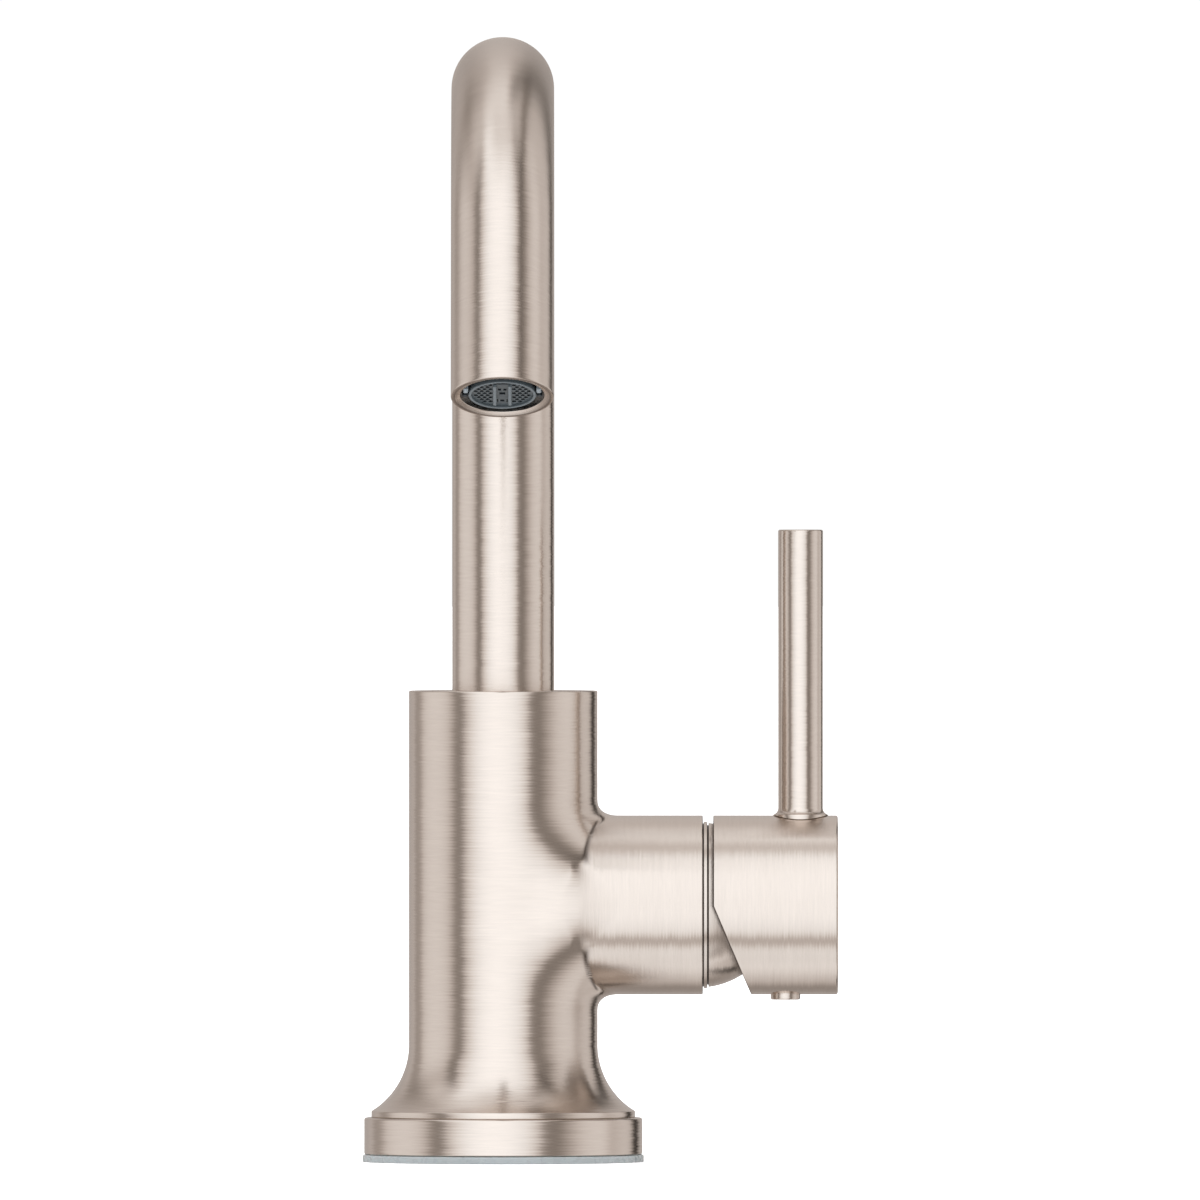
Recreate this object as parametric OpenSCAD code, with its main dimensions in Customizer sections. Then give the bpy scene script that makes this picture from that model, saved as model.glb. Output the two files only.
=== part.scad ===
// Single-lever basin mixer with a swivelling gooseneck spout and a lever on its side arm.
// Millimetres, +Z up. The spout reaches towards -Y and the arm points along +X.
// The origin is on the deck, on the axis of the upright body.

/* [Base] */
// Radius of the base ring
base_ring_r = 31.05; // [29:0.05:35]
// Height of the base ring
base_ring_h = 8.3; // [6:0.1:12]
// Width of the base ring, from its bore to its outside
base_ring_w = 7; // [5:0.1:8]
// Thickness of the gasket
gasket_t = 1.6; // [1:0.1:3]
// Distance that the gasket shows beyond the base ring
gasket_proud = 0.35; // [0:0.05:1]
// Width of the gasket, from the tap hole to its edge
gasket_w = 13.9; // [12:0.1:15]

/* [Body] */
// Radius of the upright body
body_r = 21.07; // [20:0.01:23]
// Height of the body from the base ring to its top edge
body_h = 95.3; // [90:0.1:110]
// Distance of the thin flange's edge behind the base ring's
flange_step = 1.6; // [0.5:0.05:3]
// Height of the flange's straight edge
flange_edge = 1.43; // [0.8:0.01:2.5]
// Radius of the hollow flare above the flange
flare_r = 17.41; // [15:0.01:20]
// Depth of the spout's socket
socket_depth = 31.7; // [28:0.1:34]

/* [Side arm] */
// Height of the arm's axis above the deck
arm_z = 57.34; // [55:0.01:62]
// Radius of the arm, and of the handle hub beyond it
arm_r = 20; // [18:0.05:23]
// Distance of the arm's end from the body's axis
arm_end = 44.57; // [43:0.01:50]
// Radius of the hollow blend between the arm and the body
blend_r = 3.68; // [2:0.01:6]
// Distance of the lever's pivot behind the arm's end
pivot_back = 1.17; // [0.5:0.01:2]

/* [Spout] */
// Outer radius of the spout tube
tube_r = 11.4; // [10.5:0.05:12.5]
// Wall of the spout tube
tube_wall = 1.3; // [1:0.05:2]
// Straight rise of the tube above the body
riser_h = 83.65; // [60:0.05:140]
// Radius of the bend, on the tube's centreline
bend_r = 50.7; // [40:0.1:70]
// Angle that the tube turns through
bend_angle = 156.5; // [120:0.5:170]
// Length of the straight leg that ends in the outlet
leg_len = 41.3; // [25:0.1:60]
// Swing of the spout to either side
swing_angle = 60; // [30:1:75]

/* [Outlet] */
// Wall of the bushing between the tube and the aerator
bushing_wall = 0.8; // [0.7:0.05:1.2]
// Depth of the aerator below the outlet's edge
aerator_sink = 2.2; // [1.6:0.1:4]
// Distance of the screen's ring inside the opening
screen_ring_step = 1.85; // [1.6:0.05:2.4]
// Distance between the holes of the screen
mesh_pitch = 1.15; // [1:0.05:2]

/* [Handle] */
// Gap between the arm and the handle hub
hub_gap = 2.29; // [1.8:0.01:4]
// Length of the handle hub
hub_len = 27.85; // [26:0.05:36]
// Radius of the edge at the hub's outer end
hub_edge_r = 1; // [0.4:0.1:2]
// Slope of the cut that lets the hub tilt
hub_cut_angle = 23; // [22.5:0.5:30]
// Tilt of the lever from shut to fully open
flow_angle = 22; // [15:0.5:22]
// Radius of the lever rod
rod_r = 5; // [4:0.05:6]
// Height of the lever rod above the hub
rod_h = 63.76; // [40:0.1:90]
// Distance of the rod's axis from the hub's outer end
rod_inset = 8.35; // [8:0.05:9.5]
// Radius of the hollow foot of the rod
foot_r = 1.5; // [1:0.1:2]
// Spread of the foot beyond the rod
foot_spread = 1.15; // [0.8:0.05:1.5]
// Distance of the clamping screw's axis from the hub's outer end
screw_inset = 11.71; // [11.2:0.01:12]
// Radius of the cap over the clamping screw
cap_r = 3.3; // [3:0.1:4]
// Height of the cap above the hub
cap_h = 1.15; // [0.5:0.05:2]

/* [Cartridge] */
// Wall between the cartridge and the outside of the arm
arm_wall = 6; // [5.7:0.05:6.2]
// Wall of the cartridge's housing
cart_wall = 1.6; // [1.4:0.05:1.8]
// Thickness of each ceramic disc
disc_t = 3.5; // [3:0.1:4]
// Height of the cartridge's base
cart_base_h = 5.2; // [5:0.1:6]
// Thickness of the slider that carries the moving disc
slider_t = 5.5; // [5:0.1:6.5]
// Distance from the lever's pivot to the ball that drives the slider
ball_reach = 10; // [9.5:0.1:11]
// Radius of that ball, as a share of the cartridge's radius
ball_share = 0.2; // [0.17:0.01:0.21]
// Side of the square stem, as a share of the cartridge's radius
stem_share = 0.5; // [0.46:0.01:0.51]
// Radius of the stem's pivot pin, as a share of the cartridge's radius
pin_r_share = 0.107; // [0.09:0.001:0.14]

/* [Hidden] */
$fn = 96;

// Clearances and overrun
over = 1;
running_gap = 0.05;
assembly_gap = 0.02;
flat_gap = 0.2;
socket_gap = 0.15;
seam_gap = 0.05;
blend_sink = 0.08;

// Colours
nickel = [0.80, 0.74, 0.69];
brass = [0.78, 0.66, 0.38];
steel = [0.70, 0.70, 0.70];
rubber = [0.12, 0.12, 0.12];
white_plastic = [0.90, 0.90, 0.88];
red_plastic = [0.75, 0.16, 0.12];
slate_plastic = [0.20, 0.24, 0.26];
ceramic = [0.93, 0.92, 0.88];
clear_plastic = [0.70, 0.74, 0.75];

// Heights of the base and the body
ring_top = gasket_t + base_ring_h;
body_top = ring_top + body_h;
gasket_r = base_ring_r + gasket_proud;
tap_hole_r = gasket_r - gasket_w;
flange_r = base_ring_r - flange_step;
ring_bore_r = base_ring_r - base_ring_w;
spigot_r = ring_bore_r - running_gap;
ring_edge_share = 0.06;
ring_edge = ring_edge_share * base_ring_h;
flange_top = ring_top + flange_edge;
flare_x = body_r + flare_r;
flare_top = flange_top + sqrt(pow(flare_r, 2) - pow(flare_x - flange_r, 2));

// Elbows that blend the arm into the body
elbow_r = arm_r + blend_r;
elbow_x = body_r + blend_r - blend_sink;

// Socket for the spout
socket_r = tube_r + socket_gap;
socket_floor = body_top - socket_depth;
washer_t = 1;

// Adapter on the foot of the spout tube
adapter_bottom = socket_floor + washer_t;
adapter_share = 0.74;
adapter_len = adapter_share * socket_depth;
adapter_top = adapter_bottom + adapter_len;
adapter_r = tube_r - running_gap;
adapter_wall = 4.85;
adapter_bore_r = adapter_r - adapter_wall;
washer_bore_r = adapter_bore_r + flat_gap;
spigot_in_tube_r = tube_r - tube_wall - assembly_gap;
spigot_in_tube_h = 10;
lower_slide_share = 0.06;
slot_share = 0.33;
lower_o_ring_share = 0.50;
upper_o_ring_share = 0.65;
upper_slide_share = 0.81;
slide_ring_h = 3.2;
slide_groove_depth = 1.05;
slide_groove_r = adapter_r - slide_groove_depth;
slide_ring_split = 2;
o_ring_r = 1;
o_ring_groove_share = 2.4;
o_ring_groove_h = o_ring_groove_share * o_ring_r;
o_ring_mid_r = socket_r - running_gap - o_ring_r;

// Screw behind the body that holds the spout in and stops its swing
grub_r = 2.5;
dog_r = 1.5;
dog_gap = 0.15;
slot_depth = 2.35;
slot_floor_r = adapter_r - slot_depth;
grub_z = adapter_bottom + slot_share * adapter_len;
grub_sink = 0.6;
grub_drive_r = 1.4;
grub_drive_depth = 2.2;

// Bend and outlet of the spout
bend_z = body_top + riser_h;
tube_bore_r = tube_r - tube_wall;
outlet_r = tube_bore_r - bushing_wall;
tip_bevel_share = 0.42;
tip_bevel = tip_bevel_share * tube_wall;
bevel_slope_share = 0.3;
lap_step = 0.01;
lap_len = 0.5;

// Waterways in the body
inlet_x = 7.5;
inlet_y = 5.5;
inlet_thread_r = 4.5;
inlet_thread_h = 12;
inlet_r = 2.6;
stud_x = -9.5;
stud_r = 3.4;
stud_h = 15;
waterway_r = 4.5;

// Sizes of the cartridge that follow its radius
cart_r = arm_r - arm_wall;
ball_r = ball_share * cart_r;
stem_side = stem_share * cart_r;
pin_r = pin_r_share * cart_r;

// Places along the arm's axis, from the pivot inwards
pivot_x = arm_end - pivot_back;
ball_x = pivot_x - ball_reach;
ball_cover_share = 0.57;
slider_top = ball_x + ball_cover_share * ball_r;
slider_bottom = slider_top - slider_t;
moving_bottom = slider_bottom - disc_t;
fixed_bottom = moving_bottom - disc_t;
cart_bottom = fixed_bottom - cart_base_h;
seal_proud = 0.3;
seat_x = cart_bottom - seal_proud;

// Ports and pegs of the cartridge, as places across the arm
port_side_share = 0.35;
port_up_share = 0.3;
port_r_share = 0.12;
outlet_down_share = 0.32;
outlet_r_share = 0.19;
seal_share = 0.1;
peg_side_share = 0.69;
peg_down_share = 0.4;
peg_r_share = 0.085;
port_y = port_side_share * cart_r;
port_up = port_up_share * cart_r;
port_r = port_r_share * cart_r;
outlet_port_down = outlet_down_share * cart_r;
outlet_port_r = outlet_r_share * cart_r;
seal_w = seal_share * cart_r;
seal_h = 1.3;
peg_y = peg_side_share * cart_r;
peg_down = peg_down_share * cart_r;
peg_r = peg_r_share * cart_r;
peg_h = 1.9;

// Parts of the cartridge
cart_bore_r = cart_r - cart_wall;
cart_foot_t = 1.3;
disc_r = cart_bore_r - flat_gap;
lug_w = 3;
lug_depth = 1.4;
lug_share = 0.7;
lug_h = lug_share * disc_t;
seat_gap = 0.15;
turret_r = cart_bore_r - flat_gap;
turret_bottom = slider_bottom + flat_gap;
turret_cover_t = 2.8;
turret_shoulder = slider_top + turret_cover_t;
housing_shoulder = turret_shoulder + flat_gap;
housing_top_t = 2;
neck_step = 0.4;
neck_wall = 1.6;
neck_r = cart_bore_r - neck_step;
neck_bore_r = neck_r - neck_wall;
neck_rise = 4.2;
neck_top = pivot_x + neck_rise;
turret_neck_r = neck_bore_r - 2 * running_gap;
stop_ring_t = 1.8;
turret_top = neck_top + stop_ring_t + flat_gap;
stop_lug_step = 0.8;
stop_lug_r = turret_neck_r + stop_lug_step;
stop_lug_angle = 20;
stop_play_angle = 4;
temperature_angle = 45;
turret_seal_r = 0.75;
turret_groove_share = 1.2;
turret_seal_x = neck_top - 2 * turret_seal_r;
turret_seal_mid_r = neck_bore_r - running_gap - turret_seal_r;

// Slider and moving disc, which travel together across the fixed disc
slider_w_share = 0.86;
slider_l_share = 1.14;
moving_share = 0.73;
slider_w = slider_w_share * cart_r;
slider_l = slider_l_share * cart_r;
moving_r = moving_share * cart_r;
disc_travel = ball_reach * sin(flow_angle);
rest_offset = disc_travel / 2;
chamber_share = 0.355;
chamber_down_share = 0.21;
slider_peg_share = 0.14;
chamber_r = chamber_share * cart_r;
chamber_depth = 2;
chamber_down = chamber_down_share * cart_r - rest_offset;
slider_peg_r = slider_peg_share * cart_r;
slider_peg_h = 1;
slider_headroom = 0.5;
ball_gap = 0.15;

// Stem
stem_neck_share = 0.135;
stem_neck_r = stem_neck_share * cart_r;
stem_foot_share = 0.6;
stem_foot = pivot_x - stem_foot_share * ball_reach;
stem_slot_share = 1.1;
stem_slot_y = stem_side / 2 + flat_gap;
stem_slot_z = stem_side / 2 + stem_slot_share * disc_travel;
pin_share = 0.9;
pin_half = pin_share * turret_neck_r - flat_gap;

// Nut, ring and dome at the end of the arm
nut_wall = 3;
nut_r = arm_r - nut_wall;
nut_depth = 10.5;
nut_gap = 0.1;
nut_step = 1.5;
nut_collar_r = nut_r - nut_step;
nut_top_share = 0.75;
nut_top = neck_top + nut_top_share * stop_ring_t;
nut_slot_w = 3;
nut_slot_depth = 1.6;
hub_rim = 1.1;
cavity_r = arm_r - hub_rim;
dome_gap = 0.4;
dome_r = cavity_r - dome_gap;
dome_wall = 1.5;
dome_mouth_share = 0.73;
dome_mouth_r = dome_mouth_share * dome_r;
dome_collar_h = 3.7;
trim_ring_t = 1;
trim_ring_step = 0.1;
trim_ring_r = dome_r + trim_ring_step;
trim_groove = 0.23;
groove_depth = 0.7;

// Handle hub
hub_start = arm_end + hub_gap;
hub_end = hub_start + hub_len;
hub_floor_share = 0.905;
hub_floor = pivot_x + hub_floor_share * cavity_r;
rod_x = hub_end - rod_inset;
screw_x = hub_end - screw_inset;
stem_tip_share = 0.25;
stem_tip = rod_x + stem_tip_share * rod_inset;
hub_top = arm_z + arm_r;
hub_low = arm_z - arm_r;
foot_h = 1.65;
foot_top = hub_top + foot_h;
foot_bottom = hub_top - foot_h;
rod_top = hub_top + rod_h;
rod_top_edge = 0.4;
stud_thread_r = 2.5;
stud_half = 8.5;
clamp_r = 2;
clamp_h = 8;
clamp_drive_r = 1;
clamp_drive_depth = 2.7;
cap_shaft_r = 2.4;
cap_shaft_h = 4.6;
cap_seat = 0.35;
cap_edge = 0.4;

// Aerator, measured from the outlet's edge into the tube
bushing_len = 13;
bushing_shoulder = 1.6;
aerator_h = 7.4;
aerator_wall = 0.95;
aerator_r = outlet_r - running_gap;
aerator_bore_r = aerator_r - aerator_wall;
aerator_top = aerator_sink + aerator_h;
screen_sink = 1.8;
screen_z = aerator_sink + screen_sink;
screen_t = 0.9;
screen_ring_r = outlet_r - screen_ring_step;
screen_front = 0.4;
screen_plate_sink = 0.6;
screen_rim_w = 0.6;
column_half = 1.9;
column_rib = 0.5;
mesh_share = 0.36;
regulator_t = 2;
regulator_hole_share = 0.6;
key_notch_w = 2.6;
key_notch_depth = 1.4;
key_lug_w = 1.5;
key_lug_step = 0.1;
key_lug_h = 1;

// Points of a quarter arc for a turned outline, from angle a0 to angle a1
function arc_points(centre, r, a0, a1, steps = 8) =
    [for (i = [0:steps]) centre + r * [cos(a0 + (a1 - a0) * i / steps), sin(a0 + (a1 - a0) * i / steps)]];

// Turns local +Z into the arm's axis, so that a local height is a distance along X
module on_arm() {
    translate([0, 0, arm_z]) rotate([0, 90, 0]) children();
}

// Moves a child on the arm to a place across it: y sideways and up towards +Z
module across_arm(y, up) {
    translate([-up, y, 0]) children();
}

// The outlet's frame: its origin is the centre of the tube's edge and +Z leads into the tube
module at_outlet() {
    translate([0, -bend_r, bend_z]) rotate([bend_angle, 0, 0])
        translate([0, bend_r, leg_len]) rotate([180, 0, 0]) children();
}

// A ring or tube from height z0 to height z1
module tube(r_out, r_in, z0, z1) {
    rotate_extrude() translate([r_in, z0]) square([r_out - r_in, z1 - z0]);
}

// A solid bar from height z0 to height z1
module bar(r, z0, z1) {
    translate([0, 0, z0]) cylinder(r = r, h = z1 - z0);
}

// A box centred across x and y, from height z0 to height z1
module block(w, d, z0, z1) {
    translate([-w / 2, -d / 2, z0]) cube([w, d, z1 - z0]);
}

// The places of the two inlet ports
module at_inlet_ports() {
    for (side = [-1, 1]) across_arm(side * port_y, port_up) children();
}

module at_outlet_port() {
    across_arm(0, -outlet_port_down) children();
}

// Body

// One of the two elbows, cut off level with the arm's axis
module elbow() {
    intersection() {
        translate([elbow_x, 0, elbow_r]) rotate([90, 0, 0]) rotate([0, 0, 180])
            rotate_extrude(angle = 90) translate([elbow_r, 0]) circle(r = arm_r);
        translate([-arm_r, -arm_r - over, 0])
            cube([elbow_x + arm_r + over, 2 * (arm_r + over), elbow_r + over]);
    }
}

module body_outside() {
    bar(spigot_r, gasket_t, ring_top);
    rotate_extrude() difference() {
        translate([0, ring_top]) square([flange_r, flare_top - ring_top]);
        translate([flare_x, flare_top]) circle(r = flare_r);
    }
    bar(body_r, flare_top, body_top);
    translate([0, 0, arm_z]) {
        elbow();
        mirror([0, 0, 1]) elbow();
    }
    on_arm() bar(arm_r, elbow_x, arm_end);
}

module spout_socket() {
    bar(socket_r, socket_floor, body_top + over);
    bar(waterway_r, arm_z - outlet_port_down, socket_floor + over);
    translate([0, 0, grub_z]) rotate([-90, 0, 0]) bar(grub_r, socket_r - over, body_r + over);
}

module cartridge_seat() {
    on_arm() {
        bar(cart_r + seat_gap, seat_x, arm_end);
        bar(nut_r, arm_end - nut_depth - flat_gap, arm_end + over);
        at_inlet_ports() bar(port_r, inlet_x, seat_x + over);
        at_outlet_port() bar(outlet_port_r, 0, seat_x + over);
        for (side = [-1, 1]) across_arm(side * peg_y, -peg_down)
            bar(peg_r + running_gap, seat_x - peg_h, seat_x + over);
    }
}

module supply_holes() {
    for (side = [-1, 1]) translate([inlet_x, side * inlet_y, 0]) {
        bar(inlet_thread_r, gasket_t - over, gasket_t + inlet_thread_h);
        bar(inlet_r, gasket_t, arm_z + port_up + port_r);
    }
    translate([stud_x, 0, 0]) bar(stud_r, gasket_t - over, gasket_t + stud_h);
}

module valve_body() {
    color(nickel) difference() {
        body_outside();
        spout_socket();
        cartridge_seat();
        supply_holes();
    }
}

module base_ring() {
    color(nickel) rotate_extrude() polygon([
        [ring_bore_r, gasket_t],
        [base_ring_r - ring_edge, gasket_t],
        [base_ring_r, gasket_t + ring_edge],
        [base_ring_r, ring_top - ring_edge],
        [base_ring_r - ring_edge, ring_top],
        [ring_bore_r, ring_top]
    ]);
}

module base_gasket() {
    color(clear_plastic) tube(gasket_r, tap_hole_r, 0, gasket_t);
}

module spout_thrust_washer() {
    color(white_plastic) tube(socket_r - flat_gap, washer_bore_r, socket_floor, adapter_bottom);
}

module spout_retaining_screw() {
    color(steel) translate([0, 0, grub_z]) rotate([-90, 0, 0]) difference() {
        union() {
            bar(grub_r - assembly_gap, socket_r + flat_gap, body_r - grub_sink);
            bar(dog_r, slot_floor_r + flat_gap, socket_r + over);
        }
        translate([0, 0, body_r - grub_sink - grub_drive_depth])
            cylinder(r = grub_drive_r, h = grub_drive_depth + over, $fn = 6);
    }
}

// Cartridge, fixed parts

module disc_lugs(w, depth, z0, z1) {
    intersection() {
        tube(disc_r, disc_r - depth, z0, z1);
        block(w, 2 * (disc_r + over), z0, z1);
    }
}

module cartridge_base() {
    color(white_plastic) on_arm() difference() {
        union() {
            bar(cart_r - running_gap, cart_bottom, cart_bottom + cart_foot_t);
            bar(disc_r, cart_bottom, fixed_bottom);
            disc_lugs(lug_w, lug_depth, fixed_bottom - over, fixed_bottom + lug_h);
            for (side = [-1, 1]) across_arm(side * peg_y, -peg_down)
                bar(peg_r, seat_x - peg_h + flat_gap, cart_bottom + over);
        }
        at_inlet_ports() {
            bar(port_r, cart_bottom - over, fixed_bottom + over);
            bar(port_r + seal_w + running_gap, cart_bottom - over, seat_x + seal_h);
        }
        at_outlet_port() {
            bar(outlet_port_r, cart_bottom - over, fixed_bottom + over);
            bar(outlet_port_r + seal_w + running_gap, cart_bottom - over, seat_x + seal_h);
        }
    }
}

module cartridge_seals() {
    color(rubber) on_arm() {
        at_inlet_ports() tube(port_r + seal_w, port_r, seat_x, seat_x + seal_h);
        at_outlet_port() tube(outlet_port_r + seal_w, outlet_port_r, seat_x, seat_x + seal_h);
    }
}

module cartridge_housing() {
    color(white_plastic) on_arm() rotate_extrude() polygon([
        [cart_bore_r, cart_bottom + cart_foot_t],
        [cart_r, cart_bottom + cart_foot_t],
        [cart_r, housing_shoulder + housing_top_t],
        [neck_r, housing_shoulder + housing_top_t],
        [neck_r, neck_top],
        [neck_bore_r, neck_top],
        [neck_bore_r, housing_shoulder],
        [cart_bore_r, housing_shoulder]
    ]);
}

module fixed_ceramic_disc() {
    color(ceramic) on_arm() difference() {
        bar(disc_r, fixed_bottom, moving_bottom);
        disc_lugs(lug_w + flat_gap, lug_depth + flat_gap, fixed_bottom - over, moving_bottom + over);
        at_inlet_ports() bar(port_r, fixed_bottom - over, moving_bottom + over);
        at_outlet_port() bar(outlet_port_r, fixed_bottom - over, moving_bottom + over);
    }
}

// The nut clamps the cartridge by its shoulder, and its collar carries the trim
module bonnet_nut() {
    nut_start = arm_end - nut_depth;
    clamp_x = housing_shoulder + housing_top_t;
    color(brass) on_arm() difference() {
        rotate_extrude() polygon([
            [cart_r + nut_gap, nut_start],
            [nut_r - nut_gap, nut_start],
            [nut_r - nut_gap, arm_end],
            [nut_collar_r, arm_end],
            [nut_collar_r, nut_top],
            [neck_r + nut_gap, nut_top],
            [neck_r + nut_gap, clamp_x],
            [cart_r + nut_gap, clamp_x]
        ]);
        for (turn = [0, 90]) rotate([0, 0, turn])
            block(nut_slot_w, 2 * (nut_r + over), nut_top - nut_slot_depth, nut_top + over);
    }
}

// The lug of the turret runs in this ring's gap, which stops the lever's turn
module temperature_stop_ring() {
    gap_angle = 2 * temperature_angle + stop_lug_angle + stop_play_angle;
    color(red_plastic) on_arm() difference() {
        tube(neck_r, turret_neck_r + flat_gap, neck_top, neck_top + stop_ring_t);
        rotate([0, 0, -gap_angle / 2]) rotate_extrude(angle = gap_angle)
            translate([turret_neck_r, neck_top - over])
                square([stop_lug_r + flat_gap - turret_neck_r, stop_ring_t + 2 * over]);
    }
}

module trim_ring() {
    color(nickel) on_arm()
        tube(trim_ring_r, nut_collar_r + nut_gap, arm_end, arm_end + trim_ring_t);
}

// A shell round the lever's pivot, whose collar goes over the nut
module trim_dome() {
    dome_start = arm_end + trim_ring_t;
    mouth_x = pivot_x + sqrt(pow(dome_r, 2) - pow(dome_mouth_r, 2));
    shell_r = dome_r - dome_wall;
    color(nickel) on_arm() difference() {
        intersection() {
            translate([0, 0, pivot_x]) sphere(r = dome_r);
            bar(dome_r + over, dome_start, mouth_x);
        }
        difference() {
            translate([0, 0, pivot_x]) sphere(r = shell_r);
            tube(dome_r + over, nut_collar_r + nut_gap, dome_start - over, dome_start + dome_collar_h);
        }
        bar(nut_collar_r + nut_gap, dome_start - over, dome_start + dome_collar_h);
        bar(dome_mouth_r - dome_wall / 2, mouth_x - dome_wall, mouth_x + over);
        tube(dome_r + over, dome_r - groove_depth, dome_start - over, dome_start + trim_groove);
    }
}

// Spout

// The leg's walls lie a hair inside the bend's and lap into them, so that the two join cleanly
module spout_tube() {
    color(nickel) difference() {
        union() {
            tube(tube_r, tube_bore_r, adapter_top, bend_z);
            translate([0, -bend_r, bend_z]) rotate([90, 0, 90])
                rotate_extrude(angle = bend_angle) translate([bend_r, 0]) difference() {
                    circle(r = tube_r);
                    circle(r = tube_bore_r);
                }
            at_outlet() tube(tube_r - lap_step, tube_bore_r + lap_step, 0, leg_len + lap_len);
        }
        at_outlet() translate([0, 0, -over]) cylinder(
            r1 = tube_bore_r + tip_bevel + over / bevel_slope_share, r2 = tube_bore_r,
            h = bevel_slope_share * tip_bevel + over);
    }
}

module ring_groove(floor_r, share, h) {
    z0 = adapter_bottom + share * adapter_len;
    tube(tube_r + over, floor_r, z0, z0 + h);
}

// A slot part of the way round, with round ends for the screw's tip to stop against
module swing_slot() {
    slot_half_h = dog_r + dog_gap;
    translate([0, 0, grub_z]) {
        rotate([0, 0, 90 - swing_angle]) rotate_extrude(angle = 2 * swing_angle)
            translate([slot_floor_r, -slot_half_h]) square([tube_r - slot_floor_r + over, 2 * slot_half_h]);
        for (side = [-1, 1]) rotate([0, 0, 90 + side * swing_angle]) rotate([0, 90, 0])
            bar(slot_half_h, slot_floor_r, tube_r + over);
    }
}

module spout_adapter() {
    color(brass) difference() {
        union() {
            bar(adapter_r, adapter_bottom, adapter_top);
            bar(spigot_in_tube_r, adapter_top - over, adapter_top + spigot_in_tube_h);
        }
        bar(adapter_bore_r, adapter_bottom - over, adapter_top + spigot_in_tube_h + over);
        ring_groove(slide_groove_r, lower_slide_share, slide_ring_h);
        ring_groove(slide_groove_r, upper_slide_share, slide_ring_h);
        for (share = [lower_o_ring_share, upper_o_ring_share])
            ring_groove(o_ring_mid_r - o_ring_r - assembly_gap, share, o_ring_groove_h);
        swing_slot();
    }
}

module spout_slide_rings() {
    color(white_plastic) for (share = [lower_slide_share, upper_slide_share]) {
        z0 = adapter_bottom + share * adapter_len;
        difference() {
            tube(socket_r - running_gap, slide_groove_r + assembly_gap,
                z0 + assembly_gap, z0 + slide_ring_h - assembly_gap);
            translate([0, -socket_r, 0])
                block(slide_ring_split, 2 * (socket_r - adapter_bore_r), z0 - over, z0 + slide_ring_h + over);
        }
    }
}

module spout_o_rings() {
    color(rubber) for (share = [lower_o_ring_share, upper_o_ring_share])
        translate([0, 0, adapter_bottom + share * adapter_len + o_ring_groove_h / 2])
            rotate_extrude() translate([o_ring_mid_r, 0]) circle(r = o_ring_r);
}

// Outlet

module outlet_bushing() {
    bevel_start = bevel_slope_share * tip_bevel + assembly_gap;
    bore_edge = bevel_start + bevel_slope_share * (tube_bore_r - outlet_r);
    color(nickel) at_outlet() rotate_extrude() polygon([
        [tube_bore_r - assembly_gap, bevel_start],
        [outlet_r, bore_edge],
        [outlet_r, bushing_len - bushing_shoulder],
        [aerator_bore_r, bushing_len - bushing_shoulder],
        [aerator_bore_r, bushing_len],
        [tube_bore_r - assembly_gap, bushing_len]
    ]);
}

// Cup of the aerator, with notches for its key
module aerator_housing() {
    color(slate_plastic) at_outlet() difference() {
        union() {
            tube(aerator_r, aerator_bore_r, aerator_sink, aerator_top);
            tube(aerator_r, screen_ring_r, screen_z + screen_t, aerator_top - regulator_t);
        }
        for (turn = [0:90:270]) rotate([0, 0, turn]) translate([aerator_r, 0, 0])
            block(2 * aerator_wall + over, key_notch_w, aerator_sink - over, aerator_sink + key_notch_depth);
    }
}

// Holes of the screen's plate fill a lobe on either side of its middle column
module mesh_holes() {
    row = mesh_pitch * sqrt(3) / 2;
    reach = screen_ring_r - screen_rim_w - mesh_pitch / 2;
    count = ceil(reach / row);
    for (i = [-count:count]) for (j = [-count:count]) {
        x = (j + (i % 2 == 0 ? 0 : 0.5)) * mesh_pitch;
        y = i * row;
        if (norm([x, y]) < reach && abs(x) > column_half + mesh_pitch / 2)
            translate([x, y, screen_front]) rotate([0, 0, 30])
                cylinder(r = mesh_share * mesh_pitch, h = screen_plate_sink + screen_t + over, $fn = 6);
    }
}

// The screen's ring rises from a flange on the housing's step to near the outlet's edge. It holds the
// plate, two ribs along the plate's middle column and a lug at either side for the key.
module aerator_screen() {
    ring_bore_r = screen_ring_r - screen_rim_w;
    disc_edge_r = aerator_bore_r - running_gap;
    lug_start = screen_ring_r - screen_rim_w / 2;
    lug_end = disc_edge_r - key_lug_step;
    plate_z = screen_front + screen_plate_sink;
    plate_back = plate_z + screen_t;
    color(slate_plastic) at_outlet() difference() {
        union() {
            tube(disc_edge_r, ring_bore_r, screen_z, screen_z + screen_t);
            tube(screen_ring_r, ring_bore_r, screen_front, screen_z + screen_t);
            bar(lug_start, plate_z, plate_back);
            for (side = [-1, 1]) translate([side * (column_half - column_rib / 2), 0, 0])
                block(column_rib, 2 * ring_bore_r, screen_front, plate_back);
            for (side = [-1, 1]) translate([side * (lug_start + lug_end) / 2, 0, 0])
                block(lug_end - lug_start, key_lug_w, screen_front, screen_front + key_lug_h);
        }
        mesh_holes();
        for (side = [-1, 1]) translate([side * mesh_pitch / 2, -mesh_pitch, 0])
            block(mesh_share * mesh_pitch, mesh_pitch, screen_front, plate_back + over);
        translate([0, 2 * mesh_pitch, 0]) bar(mesh_share * mesh_pitch, screen_front, plate_back + over);
    }
}

module aerator_regulator() {
    z0 = aerator_top - regulator_t;
    color(white_plastic) at_outlet() difference() {
        bar(aerator_bore_r - running_gap, z0, aerator_top);
        for (turn = [0:45:315]) rotate([0, 0, turn]) translate([regulator_hole_share * aerator_bore_r, 0, 0])
            bar(mesh_pitch / 2, z0 - over, aerator_top + over);
    }
}

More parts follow.
